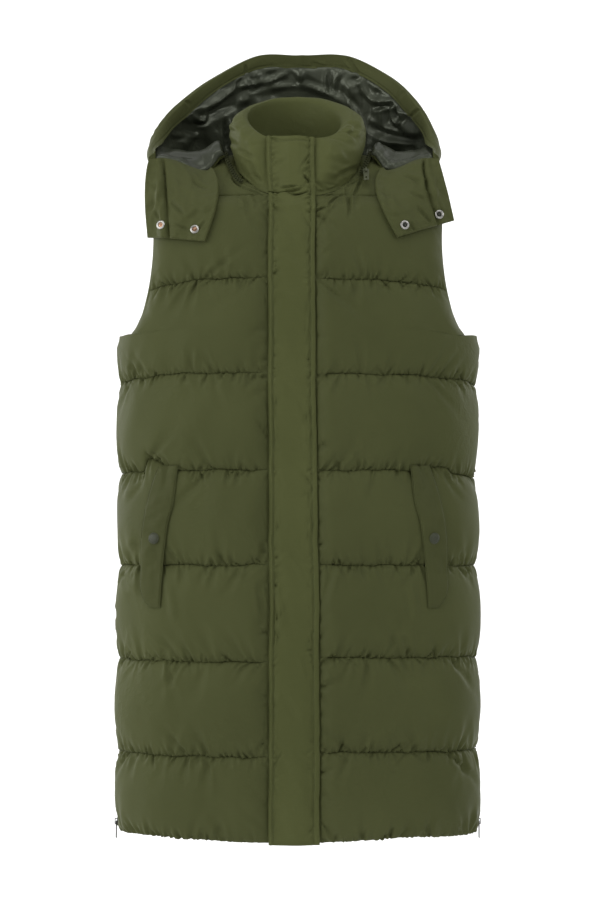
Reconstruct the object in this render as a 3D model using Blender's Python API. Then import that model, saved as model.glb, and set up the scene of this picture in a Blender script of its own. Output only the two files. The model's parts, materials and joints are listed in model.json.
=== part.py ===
"""A long, sleeveless, quilted and padded vest with a stand collar and a zip-off hood.

It has the hollow form that it keeps when worn. Metres, +Z up. The front faces -Y and the wearer's left is +X.
The origin is the middle of the neck opening at the height of the high shoulder points, where the wearer's
shoulders carry the vest.
"""

import math
from collections import namedtuple

import bmesh
import bpy
import numpy as np
from mathutils import Matrix, Vector
from mathutils.bvhtree import BVHTree


def table(names, rows):
    """A short table of numbers, as a dictionary of its named columns."""
    return dict(zip(names.split(), np.array(rows, float).T))


# Seams and cloth
SEAM_GAP = 0.0003
SEAM_THICKNESS = 0.003
BODY_LOFT = 0.012
CHEST_LOFT = 0.010
YOKE_LOFT = 0.004
EDGE_FADE = 0.035
YOKE_FADE = 0.020
FADE_POWER = 2.5
LOFT_POWER = 0.55  # under 1, so that the padding rises quickly from its seams

# Heights, from the high shoulder points down
HEM = -0.878
QUILT_PITCH = 0.119
FIRST_SEAM = -0.173
YOKE_SEAM = -0.080
UNDERARM = -0.236

# Neck opening and shoulders
NECK_MIDDLE_Y = -0.010
NECK_HALF_WIDTH = 0.080
NECK_HALF_DEPTH = 0.082
NECK_FRONT_Z = -0.066
NECK_DROP_POWER = 0.85
NECK_BACK_Z = 0.005
SHOULDER_X = 0.192
SHOULDER_Y = 0.0
SHOULDER_Z = -0.035
SHOULDER_DROP_POWER = 1.15

# Front closing
CENTRE_X = -0.004
ZIP_WIDTH = 0.011
ZIP_INNER_SHARE = 0.1  # of the fronts' thickness
ZIP_OUTER_SHARE = 0.8
PLACKET_RIGHT_X = -0.0355
PLACKET_LEFT_X = 0.0275
PLACKET_LOFT = 0.0035
PLACKET_DROP = 0.004
PLACKET_CLEARANCE = 0.0005

ROUNDNESS = 2.3  # exponent of the body's section: 2 is an ellipse, and more is squarer

# Inner sizes of the body's level sections
BODY = table("z half_width front_depth back_depth", [
    (-0.878, 0.2235, 0.121, 0.113),
    (-0.768, 0.2240, 0.121, 0.112),
    (-0.650, 0.2240, 0.120, 0.110),
    (-0.530, 0.2235, 0.117, 0.107),
    (-0.411, 0.2225, 0.114, 0.105),
    (-0.292, 0.2240, 0.117, 0.107),
    (-0.173, 0.2235, 0.112, 0.111),
    (YOKE_SEAM, 0.2235, 0.100, 0.106),
])

# Where the armhole cuts each level section: its distance from the middle, in front and behind
UNDERARM_ROWS = (UNDERARM, UNDERARM + 0.004, UNDERARM + 0.011)
ARMHOLE = table("z front_x back_x", [
    (UNDERARM_ROWS[0], 0.2235, 0.2235),
    (UNDERARM_ROWS[1], 0.2175, 0.2190),
    (UNDERARM_ROWS[2], 0.2095, 0.2115),
    (-0.2090, 0.2000, 0.2025),
    (-0.1800, 0.1905, 0.1935),
    (-0.1500, 0.1850, 0.1900),
    (-0.1190, 0.1825, 0.1885),
    (YOKE_SEAM, 0.1835, 0.1900),
])

# How far each quilting seam sags from the front edge to the side, and the loft of the channel below it
QUILT = table("z side_sag loft_below", [
    (HEM, -0.004, 0.0),
    (FIRST_SEAM - 5 * QUILT_PITCH, -0.001, BODY_LOFT),
    (FIRST_SEAM - 4 * QUILT_PITCH, 0.000, BODY_LOFT),
    (FIRST_SEAM - 3 * QUILT_PITCH, 0.001, BODY_LOFT),
    (FIRST_SEAM - 2 * QUILT_PITCH, 0.002, BODY_LOFT),
    (FIRST_SEAM - QUILT_PITCH, 0.009, BODY_LOFT),
    (FIRST_SEAM, 0.010, BODY_LOFT),
    (YOKE_SEAM, 0.003, CHEST_LOFT),
])
SAG_POWER = 3  # the seams are straight in the middle, and sag near the side

# Rows of points in each quilted channel, as shares of its height, and how close one may be to an underarm row
CHANNEL_ROWS = (0.0, 0.07, 0.28, 0.72, 0.93)
ROW_CLEARANCE = 0.005
# Columns from the placket's edge to the side, as shares of the angle. The high shoulder point is one of them.
FRONT_COLUMNS = (0.0, 0.05, 0.17, 0.29, 0.40, 0.58, 0.77, 0.94, 1.0)
BACK_COLUMNS = (0.0, 0.14, 0.28, 0.40, 0.60, 0.79, 0.94, 1.0)
SHOULDER_COLUMN = 0.40
YOKE_ROWS = 3
# How squarely the yoke bends over from front or back to the top: in the middle, at the neck's side and at the
# armhole
FRONT_YOKE_FULLNESS = (0.15, 0.05, 0.60)
BACK_YOKE_FULLNESS = (0.10, 0.15, 0.60)

# The collar: its top ring inside, and its padding from the neck seam at 0 to the top at 1
COLLAR_GAP = 0.0006
COLLAR_TOP_HALF_WIDTH = 0.066
COLLAR_TOP_HALF_DEPTH = 0.066
COLLAR_TOP_Y = -0.014
COLLAR_TOP = table("angle_from_back z", [
    (0.0, 0.088),
    (45.0, 0.085),
    (90.0, 0.061),
    (120.0, 0.031),
    (148.0, 0.009),
    (180.0, 0.007),
])
COLLAR_ROWS = table("share loft", [
    (0.0, 0.0),
    (0.14, 0.003),
    (0.36, 0.011),
    (0.66, 0.014),
    (0.88, 0.011),
    (1.0, 0.003),
])

# The hood lies down behind the collar as a trough: from the neck seam over the floor, up the wall and to the
# brim. Angles run from the middle of the back round to the front ends.
HOOD = table("angle start_lift floor_r floor_z wall_r wall_z brim_r brim_z", [
    (0.0, 0.0010, 0.158, -0.074, 0.187, -0.006, 0.140, 0.157),
    (25.0, 0.0015, 0.154, -0.066, 0.190, -0.002, 0.153, 0.155),
    (45.0, 0.0025, 0.146, -0.036, 0.190, 0.012, 0.171, 0.124),
    (60.0, 0.0025, 0.138, -0.010, 0.188, 0.020, 0.177, 0.0890),
    (70.0, 0.0020, 0.134, 0.002, 0.184, 0.020, 0.178, 0.067),
    (80.0, 0.0020, 0.130, 0.004, 0.179, 0.016, 0.179, 0.0445),
    (90.0, 0.0030, 0.127, 0.002, 0.174, 0.004, 0.183, 0.021),
    (98.0, 0.0036, 0.124, -0.006, 0.170, -0.006, 0.187, 0.004),
    (106.0, 0.0030, 0.120, -0.018, 0.164, -0.012, 0.189, -0.011),
])
HOOD_RISE = 0.006
HOOD_LEAN = 0.085  # the brim leans to the wearer's left with its height
HOOD_LEAN_Z = 0.10
HOOD_STEP_ANGLE = 1.0  # the steps over which the hood's directions are measured
HOOD_STEP_SHARE = 0.01
HOOD_SEAM_GAP_ANGLE = 0.1
HOOD_KNOTS = (0.0, 0.30, 0.62, 1.0)  # shares of the way: the neck seam, the floor, the wall and the brim
HOOD_SEAM_ANGLE = 28.0
HOOD_END_ANGLE = 106.0
HOOD_LOFT = 0.005
HOOD_SHELL_THICKNESS = 0.003
LINING_THICKNESS = 0.001
HOOD_ROWS = (0.0, 0.10, 0.20, 0.30, 0.42, 0.54, 0.66, 0.78, 0.88, 0.955, 1.0)
BAND_START = 0.955  # where the band of shell cloth inside the brim begins
BAND_RISE = 0.0015
CENTRE_HOOD_COLUMNS = 7
SIDE_HOOD_COLUMNS = 10

# The hood's front ends hang over the shoulders. Inner and outer are the edges towards the neck and the
# armhole.
Flap = namedtuple("Flap", "bottom_in_x bottom_in_z bottom_out_x bottom_out_z inner_bulge outer_bulge")
FLAPS = {
    "right": Flap(0.1160, -0.1245, 0.1890, -0.1150, 0.010, 0.008),
    "left": Flap(0.1250, -0.1180, 0.1980, -0.0930, -0.006, 0.002),
}
FLAP_THICKNESS = 0.003
FLAP_LOFT = 0.004
FLAP_CLEARANCE = 0.003
FLAP_ROWS = 9
FLAP_LEAN = 0.010  # how far the free end swings forward
FLAP_REST_X = 0.183  # the flaps rest on the fronts as far out as this
FlapSnap = namedtuple("FlapSnap", "side place x z")
FLAP_SNAPS = (
    FlapSnap("right", "inner", -0.1295, -0.1085),
    FlapSnap("right", "outer", -0.1729, -0.1010),
    FlapSnap("left", "inner", 0.1348, -0.1030),
    FlapSnap("left", "outer", 0.1796, -0.0865),
)
FLAP_SNAP_RADIUS = 0.0058

# Pocket welts, on each front: distances from the middle line of their edges towards the front and the side
POCKET = table("z front_x side_x", [
    (-0.5838, 0.1720, 0.1860),
    (-0.5724, 0.1716, 0.1940),
    (-0.5332, 0.1690, 0.1975),
    (-0.5015, 0.1657, 0.1975),
    (-0.4775, 0.1623, 0.1950),
    (-0.4535, 0.1558, 0.1905),
    (-0.4206, 0.1518, 0.1810),
    (-0.4054, 0.1501, 0.1750),
])
POCKET_SHIFT = {"right": 0.0, "left": -0.009}
POCKET_ROWS = 17
POCKET_STEPS = 5
POCKET_THICKNESS = 0.0035
POCKET_LOFT = 0.0025
POCKET_CLEARANCE = 0.0012
POCKET_SNAP_X = 0.1805
POCKET_SNAP_Z = -0.497
POCKET_SNAP_RADIUS = 0.0072

# A snap's cap in half section, in shares of its radius, and the places under its rim that are felt for the
# cloth
SNAP_PROFILE = ((0.0, 0.0), (0.95, 0.0), (1.0, 0.14), (0.78, 0.34), (0.62, 0.26), (0.0, 0.28))
SNAP_STEPS = 12
SNAP_SPOKES = 8
SNAP_FEEL = 0.05

# Side zips, in the side seams above the hem, and the zip that holds the hood
SIDE_ZIP_TOP = -0.694
SIDE_ZIP_BOTTOM = -0.862
CHAIN_WIDTH = 0.0052
CHAIN_THICKNESS = 0.0020
CHAIN_LIFT = 0.0014
HOOD_ZIP_INNER_R = 0.0895
HOOD_ZIP_OUTER_R = 0.0970
HOOD_ZIP_RIGHT = -132  # degrees from the middle of the back
HOOD_ZIP_LEFT = 120
HOOD_ZIP_STEP = 7
HOOD_ZIP_CLEARANCE = 0.0040
HOOD_ZIP_THICKNESS = 0.0016
HOOD_SLIDER_R = 0.0990
HOOD_SLIDER_ANGLE = 118
HOOD_SLOPE_STEP = 0.010
HOOD_SLIDER_CLEARANCE = 0.0066

# A zip slider and its pull tab, upright, with the zip's face towards -Y
SLIDER_WIDTH = 0.0078
SLIDER_HEIGHT = 0.0105
SLIDER_DEPTH = 0.0030
BRIDGE_WIDTH = 0.0020
BRIDGE_THICKNESS = 0.0011
BRIDGE_GAP = 0.0022
BRIDGE_HALF_HEIGHT = 0.0038
PULL_WIDTH = 0.0068
PULL_LENGTH = 0.0215
PULL_THICKNESS = 0.0012
PULL_EYE_WIDTH = 0.0034
PULL_EYE_LENGTH = 0.0056
PULL_BAR = 0.0011
PULL_SLOT_WIDTH = 0.0018
PULL_SLOT_LENGTH = 0.0042
PULL_SLOT_FROM_END = 0.0030

OLIVE = (0.072, 0.083, 0.034, 1.0)
LINING_GREEN = (0.035, 0.038, 0.028, 1.0)
STEEL = (0.60, 0.60, 0.58, 1.0)
DARK_METAL = (0.05, 0.055, 0.045, 1.0)

SHARP_ANGLE = 50  # degrees
FAR = 1.0  # a distance outside the vest
TINY = 1e-6


def clear_scene():
    for old in list(bpy.data.objects):
        bpy.data.objects.remove(old, do_unlink=True)


def material(name, colour, roughness, metallic=0.0):
    made = bpy.data.materials.get(name) or bpy.data.materials.new(name)
    made.use_nodes = True
    shader = made.node_tree.nodes["Principled BSDF"]
    shader.inputs["Base Color"].default_value = colour
    shader.inputs["Roughness"].default_value = roughness
    shader.inputs["Metallic"].default_value = metallic
    return made


def shell_cloth():
    return material("shell_cloth", OLIVE, 0.55)


def lining_cloth():
    return material("lining_cloth", LINING_GREEN, 0.35)


def bright_metal():
    return material("bright_metal", STEEL, 0.25, 1.0)


def dark_metal():
    return material("dark_metal", DARK_METAL, 0.45, 0.8)


# Curves and surfaces

def smooth(xs, ys, x):
    """A smooth curve through the points (xs, ys), read at x. xs go up."""
    xs = np.asarray(xs, float)
    ys = np.asarray(ys, float)
    slopes = np.gradient(ys, xs)
    x = np.clip(x, xs[0], xs[-1])
    k = np.clip(np.searchsorted(xs, x) - 1, 0, len(xs) - 2)
    step = xs[k + 1] - xs[k]
    t = (x - xs[k]) / step
    from_start = (1 + 2 * t) * (1 - t) ** 2 * ys[k] + t * (1 - t) ** 2 * step * slopes[k]
    to_end = t * t * (3 - 2 * t) * ys[k + 1] + t * t * (t - 1) * step * slopes[k + 1]
    return from_start + to_end


def unit(vectors):
    return vectors / np.maximum(np.linalg.norm(vectors, axis=-1, keepdims=True), TINY**2)


def bump(share):
    """0 at both ends and 1 in the middle, with full shoulders."""
    share = np.clip(share, 0, 1)
    return (4 * share * (1 - share)) ** LOFT_POWER


def read(columns, name, at, value):
    """A column of a table, read at this value of another column."""
    return smooth(columns[at], columns[name], value)


def body_sizes(z):
    """Inner half width, front depth and back depth of the body at height z."""
    return [read(BODY, name, "z", z) for name in ("half_width", "front_depth", "back_depth")]


def section_angle(x, half_width):
    """The angle round a section, 0 in the middle and 90 degrees at the side, at x from the middle."""
    return math.asin(min(1.0, abs(x) / half_width) ** (ROUNDNESS / 2))


def section_point(angle, z, front):
    """The body's inner surface at this height. The angle is negative on the wearer's right."""
    half_width, front_depth, back_depth = body_sizes(z)
    x = half_width * abs(math.sin(angle)) ** (2 / ROUNDNESS) * (1 if angle >= 0 else -1)
    y = max(math.cos(angle), 0.0) ** (2 / ROUNDNESS) * (-front_depth if front else back_depth)
    return [x, y, z]


def quilt_loft(z):
    """How far the padding stands above the seams' thickness at height z."""
    seams = QUILT["z"]
    top = int(np.clip(np.searchsorted(seams, z), 1, len(seams) - 1))
    low, high = seams[top - 1], seams[top]
    return QUILT["loft_below"][top] * bump((z - low) / (high - low))


def edge_fade(distance, width):
    """0 at an edge of a panel and 1 from that width inwards."""
    share = np.clip(distance / width, 0, 1)
    return 1 - (1 - share) ** FADE_POWER


def neck_point(angle, back=False):
    """The neck seam. The angle is 0 in the middle, front or back, and 90 degrees at the wearer's left."""
    x = NECK_HALF_WIDTH * math.sin(angle)
    reach = max(math.cos(angle), 0.0)
    y = NECK_MIDDLE_Y + NECK_HALF_DEPTH * reach * (1 if back else -1)
    z = NECK_BACK_Z * reach if back else NECK_FRONT_Z * reach**NECK_DROP_POWER
    return [x, y, z]


def shoulder_point(share, side):
    """The shoulder seam, from the high shoulder point at 0 to the armhole at 1."""
    x = NECK_HALF_WIDTH + (SHOULDER_X - NECK_HALF_WIDTH) * share
    y = NECK_MIDDLE_Y + (SHOULDER_Y - NECK_MIDDLE_Y) * share
    return [side * x, y, SHOULDER_Z * share**SHOULDER_DROP_POWER]


def grid_normals(grid):
    """Unit normals of a grid of points, to the side that its rows and columns give."""
    along = np.gradient(grid, axis=1)
    up = np.gradient(grid, axis=0)
    return unit(np.cross(along, up))


def taut(depths, places):
    """Raises a row of depths so that the cloth bridges its hollows, as cloth under tension does."""
    raised = np.array(depths, float)
    for i in range(len(places)):
        for j in range(i + 2, len(places)):
            shares = (places[i + 1:j] - places[i]) / (places[j] - places[i])
            raised[i + 1:j] = np.maximum(raised[i + 1:j], depths[i] + shares * (depths[j] - depths[i]))
    return raised


def surface_tree(grid):
    """A search tree of a grid of outer points, for what lies on them."""
    rows, columns = grid.shape[:2]
    faces = [
        (i * columns + j, i * columns + j + 1, (i + 1) * columns + j + 1, (i + 1) * columns + j)
        for i in range(rows - 1)
        for j in range(columns - 1)
    ]
    return BVHTree.FromPolygons(grid.reshape(-1, 3).tolist(), faces)


def depth_on(tree, x, z):
    """How far forward, towards -Y, the surface lies at this place."""
    hit = tree.ray_cast(Vector((x, -FAR, z)), Vector((0, 1, 0)))[0]
    return -hit.y if hit else 0.0


def height_on(trees, x, y):
    """How high the highest of these surfaces is at this place."""
    hits = [tree.ray_cast(Vector((x, y, FAR)), Vector((0, 0, -1)))[0] for tree in trees]
    return max(hit.z for hit in hits if hit)


# Meshes

def finished(name, mesh, finish, origin=(0, 0, 0)):
    bmesh.ops.recalc_face_normals(mesh, faces=mesh.faces)
    data = bpy.data.meshes.new(name)
    mesh.transform(Matrix.Translation(-Vector(origin)))
    mesh.to_mesh(data)
    mesh.free()
    data.materials.append(finish)
    data.shade_smooth()
    data.set_sharp_from_angle(angle=math.radians(SHARP_ANGLE))
    made = bpy.data.objects.new(name, data)
    made.location = origin
    bpy.context.scene.collection.objects.link(made)
    return made


def wall(name, inner, outer, finish):
    """A closed wall between two grids of points, rows by columns."""
    rows, columns = inner.shape[:2]
    mesh = bmesh.new()
    sheets = [[[mesh.verts.new(p) for p in row] for row in grid] for grid in (inner, outer)]
    for sheet in sheets:
        for i in range(rows - 1):
            for j in range(columns - 1):
                mesh.faces.new((sheet[i][j], sheet[i][j + 1], sheet[i + 1][j + 1], sheet[i + 1][j]))
    for i in (0, rows - 1):
        for j in range(columns - 1):
            mesh.faces.new((sheets[0][i][j], sheets[0][i][j + 1], sheets[1][i][j + 1], sheets[1][i][j]))
    for j in (0, columns - 1):
        for i in range(rows - 1):
            mesh.faces.new((sheets[0][i][j], sheets[0][i + 1][j], sheets[1][i + 1][j], sheets[1][i][j]))
    return finished(name, mesh, finish)


# The body: two fronts and a back

def channel_levels():
    """The heights of the rows of points from the hem to the yoke seam, with those round the underarm."""
    seams = QUILT["z"]
    levels = [low + share * (high - low) for low, high in zip(seams, seams[1:]) for share in CHANNEL_ROWS]
    levels = [z for z in levels if min(abs(z - u) for u in UNDERARM_ROWS) > ROW_CLEARANCE]
    return sorted(levels + list(UNDERARM_ROWS) + [YOKE_SEAM])


def yoke_rows(yoke, top, fullness):
    """Rows that curve from the yoke seam up to the neck and shoulder seams."""
    corner = np.stack([top[:, 0], yoke[:, 1], top[:, 2]], axis=1)
    middle = (yoke + top) / 2
    control = middle + fullness[:, None] * (corner - middle)
    shares = [k / YOKE_ROWS for k in range(1, YOKE_ROWS + 1)]
    return np.array([(1 - s) ** 2 * yoke + 2 * s * (1 - s) * control + s * s * top for s in shares])


def front_inner(side):
    """Inner points of a front: rows go up, and columns go from its zip edge to the side and armhole."""
    edge_x = CENTRE_X + side * ZIP_WIDTH / 2
    placket_x = PLACKET_LEFT_X if side > 0 else PLACKET_RIGHT_X
    levels = channel_levels()
    rows = []
    for z in levels:
        half_width = body_sizes(z)[0]
        arm_x = read(ARMHOLE, "front_x", "z", z) if z > UNDERARM else half_width
        start = section_angle(placket_x, half_width)
        end = section_angle(arm_x, half_width)
        row = [[edge_x, section_point(section_angle(edge_x, half_width), z, True)[1], z]]
        for share in FRONT_COLUMNS:
            sunk = z - read(QUILT, "side_sag", "z", z) * share**SAG_POWER
            row.append(section_point(side * (start + (end - start) * share), sunk, True))
        rows.append(row)
    grid = np.array(rows)
    grid[np.array(levels) <= UNDERARM, -1, 1] = -SEAM_GAP / 2
    start = math.asin(abs(placket_x) / NECK_HALF_WIDTH)
    top = [neck_point(math.asin(edge_x / NECK_HALF_WIDTH))]
    for share in FRONT_COLUMNS:
        if share <= SHOULDER_COLUMN:
            top.append(neck_point(side * (start + (math.pi / 2 - start) * share / SHOULDER_COLUMN)))
        else:
            top.append(shoulder_point((share - SHOULDER_COLUMN) / (1 - SHOULDER_COLUMN), side))
    top = np.array(top)
    shoulder = 1 + FRONT_COLUMNS.index(SHOULDER_COLUMN)
    top[shoulder:, 1] -= SEAM_GAP / 2
    fullness = np.interp(np.arange(len(top)), (0, shoulder, len(top) - 1), FRONT_YOKE_FULLNESS)
    return np.concatenate([grid, yoke_rows(grid[-1], top, fullness)]), shoulder


def back_inner():
    """Inner points of the back: its rows go up, and its columns from the wearer's right to the left."""
    levels = channel_levels()
    shares = [-s for s in BACK_COLUMNS[:0:-1]] + list(BACK_COLUMNS)
    rows = []
    for z in levels:
        half_width = body_sizes(z)[0]
        arm_x = read(ARMHOLE, "back_x", "z", z) if z > UNDERARM else half_width
        end = section_angle(arm_x, half_width)
        sag = read(QUILT, "side_sag", "z", z)
        rows.append([section_point(end * s, z - sag * abs(s) ** SAG_POWER, False) for s in shares])
    grid = np.array(rows)
    for column in (0, -1):
        grid[np.array(levels) <= UNDERARM, column, 1] = SEAM_GAP / 2
    top = []
    for share in shares:
        side = math.copysign(1.0, share)
        if abs(share) <= SHOULDER_COLUMN:
            top.append(neck_point(share / SHOULDER_COLUMN * math.pi / 2, back=True))
        else:
            top.append(shoulder_point((abs(share) - SHOULDER_COLUMN) / (1 - SHOULDER_COLUMN), side))
    top = np.array(top)
    on_shoulder = np.abs(shares) >= SHOULDER_COLUMN
    top[on_shoulder, 1] += SEAM_GAP / 2
    fullness = np.interp(np.abs(shares), (0, SHOULDER_COLUMN, 1), BACK_YOKE_FULLNESS)
    return np.concatenate([grid, yoke_rows(grid[-1], top, fullness)]), np.array(shares)


def seam_directions(normals, grid, side_columns, neck_columns, shoulder_columns):
    """Turns the wall's thickness at the panel's edges, so that neighbouring panels meet face to face."""
    below_arm = np.array(channel_levels() + [0.0] * YOKE_ROWS) <= UNDERARM
    for j in side_columns:
        normals[below_arm, j] = (math.copysign(1.0, grid[0, j, 0]), 0, 0)
    for j in shoulder_columns:
        normals[-1, j, 1] = 0
    for j in neck_columns:
        normals[-1, j] = (grid[-1, j, 0], grid[-1, j, 1] - NECK_MIDDLE_Y, 0)
    normals[-1] = unit(normals[-1])
    return normals


def panel_lofts(grid, edges):
    """The padding's height at each point: full inside a channel, and nothing at seams and edges."""
    levels = channel_levels()
    lofts = np.zeros(grid.shape[:2])
    for i, row in enumerate(grid):
        along = np.concatenate([[0], np.cumsum(np.linalg.norm(np.diff(row, axis=0), axis=1))])
        nearest = np.min([np.abs(along - along[j]) for j in edges], axis=0)
        if i < len(levels):
            lofts[i] = quilt_loft(levels[i]) * edge_fade(nearest, EDGE_FADE)
        else:
            share = (i - len(levels) + 1) / YOKE_ROWS
            lofts[i] = YOKE_LOFT * math.sin(math.pi * share) * edge_fade(nearest, YOKE_FADE)
    return lofts


def front_panel(side):
    """Inner and outer points of a front."""
    inner, shoulder = front_inner(side)
    last = inner.shape[1] - 1
    normals = seam_directions(
        grid_normals(inner) * side, inner, [last], range(shoulder + 1), range(shoulder + 1, last + 1)
    )
    lofts = panel_lofts(inner, (1, last))
    lofts[:, 0] = 0
    return inner, inner + normals * (SEAM_THICKNESS + lofts)[..., None]


def back_panel():
    """Inner and outer points of the back."""
    inner, shares = back_inner()
    last = inner.shape[1] - 1
    neck = np.flatnonzero(np.abs(shares) <= SHOULDER_COLUMN)
    shoulders = np.flatnonzero(np.abs(shares) > SHOULDER_COLUMN)
    normals = seam_directions(-grid_normals(inner), inner, [0, last], neck, shoulders)
    return inner, inner + normals * (SEAM_THICKNESS + panel_lofts(inner, (0, last)))[..., None], neck


# The collar, placket and front zip

def neck_ring(right, back, left, back_neck):
    """The panels' inner neck edge, from the right front's edge round the back to the left front's edge."""
    shoulder = 1 + FRONT_COLUMNS.index(SHOULDER_COLUMN)
    ring = np.concatenate([right[-1, :shoulder + 1], back[-1, back_neck[1:-1]], left[-1, shoulder::-1]])
    ring[:, 1] = np.where(np.abs(ring[:, 0]) > NECK_HALF_WIDTH - TINY, NECK_MIDDLE_Y, ring[:, 1])
    return ring


def collar_top_x(x):
    """The top ring is narrower than the neck seam, but straight above it between the placket's edges."""
    placket_x = PLACKET_LEFT_X if x > 0 else -PLACKET_RIGHT_X
    if abs(x) <= placket_x:
        return x
    share = (abs(x) - placket_x) / (NECK_HALF_WIDTH - placket_x)
    return math.copysign(placket_x + share * (COLLAR_TOP_HALF_WIDTH - placket_x), x)


def collar_panel(ring):
    """Inner and outer points of the stand collar, from the neck seam up."""
    base = ring + (0, 0, COLLAR_GAP)
    top = []
    for x, y, _ in base:
        top_x = collar_top_x(x)
        reach = COLLAR_TOP_HALF_DEPTH * math.sqrt(max(0.0, 1 - (top_x / COLLAR_TOP_HALF_WIDTH) ** 2))
        top_y = COLLAR_TOP_Y + math.copysign(reach, y - NECK_MIDDLE_Y)
        angle = math.degrees(math.atan2(abs(top_x), top_y - COLLAR_TOP_Y))
        top.append((top_x, top_y, read(COLLAR_TOP, "z", "angle_from_back", angle)))
    inner = np.array([base + share * (np.array(top) - base) for share in COLLAR_ROWS["share"]])
    normals = -grid_normals(inner)
    normals[0] = unit((base - (0, NECK_MIDDLE_Y, 0)) * (1, 1, 0))
    along = np.concatenate([[0], np.cumsum(np.linalg.norm(np.diff(inner[0], axis=0), axis=1))])
    nearest = np.minimum(np.abs(along - along[1]), np.abs(along - along[-2]))
    fade = edge_fade(nearest, YOKE_FADE)
    fade[[0, -1]] = 0
    lofts = COLLAR_ROWS["loft"][:, None] * fade[None, :]
    return inner, inner + normals * (SEAM_THICKNESS + lofts)[..., None]


def front_strip(right, left, collar):
    """Columns under the placket, from the hem to the collar: its edges, with the zip's edges between."""
    body = np.stack([right[:-1, 1], right[:-1, 0], left[:-1, 0], left[:-1, 1]], axis=1)
    upper = np.stack([collar[:, 1], collar[:, 0], collar[:, -1], collar[:, -2]], axis=1)
    neck = (np.stack([right[-1, 1], right[-1, 0], left[-1, 0], left[-1, 1]]) + upper[0]) / 2
    return np.concatenate([body, neck[None], upper[1:]])


def placket_panel(strip):
    """The placket lies on the fronts' and the collar's edges. Its points are theirs, moved out."""
    halves = (strip[:, :-1] + strip[:, 1:]) / 2
    columns = [strip[:, 0], halves[:, 0], strip[:, 1], strip[:, 2], halves[:, 2], strip[:, 3]]
    grid = np.stack(columns, axis=1)
    normals = unit(grid_normals(grid) * (0, 1, 1))
    inner = grid + normals * PLACKET_CLEARANCE
    inner[0, :, 2] -= PLACKET_DROP
    across = (grid[..., 0] - PLACKET_RIGHT_X) / (PLACKET_LEFT_X - PLACKET_RIGHT_X)
    return inner, inner + normals * (SEAM_THICKNESS + PLACKET_LOFT * bump(across))[..., None]


def zip_panel(inner_strip, outer_strip):
    """The closed front zip, in the gap between the fronts' edges and within their thickness."""
    gaps = np.array(((2 * SEAM_GAP, 0, 0), (-2 * SEAM_GAP, 0, 0)))
    inner, outer = (strip[:, 1:3] + gaps for strip in (inner_strip, outer_strip))
    return inner + ZIP_INNER_SHARE * (outer - inner), inner + ZIP_OUTER_SHARE * (outer - inner)


# The hood

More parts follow.
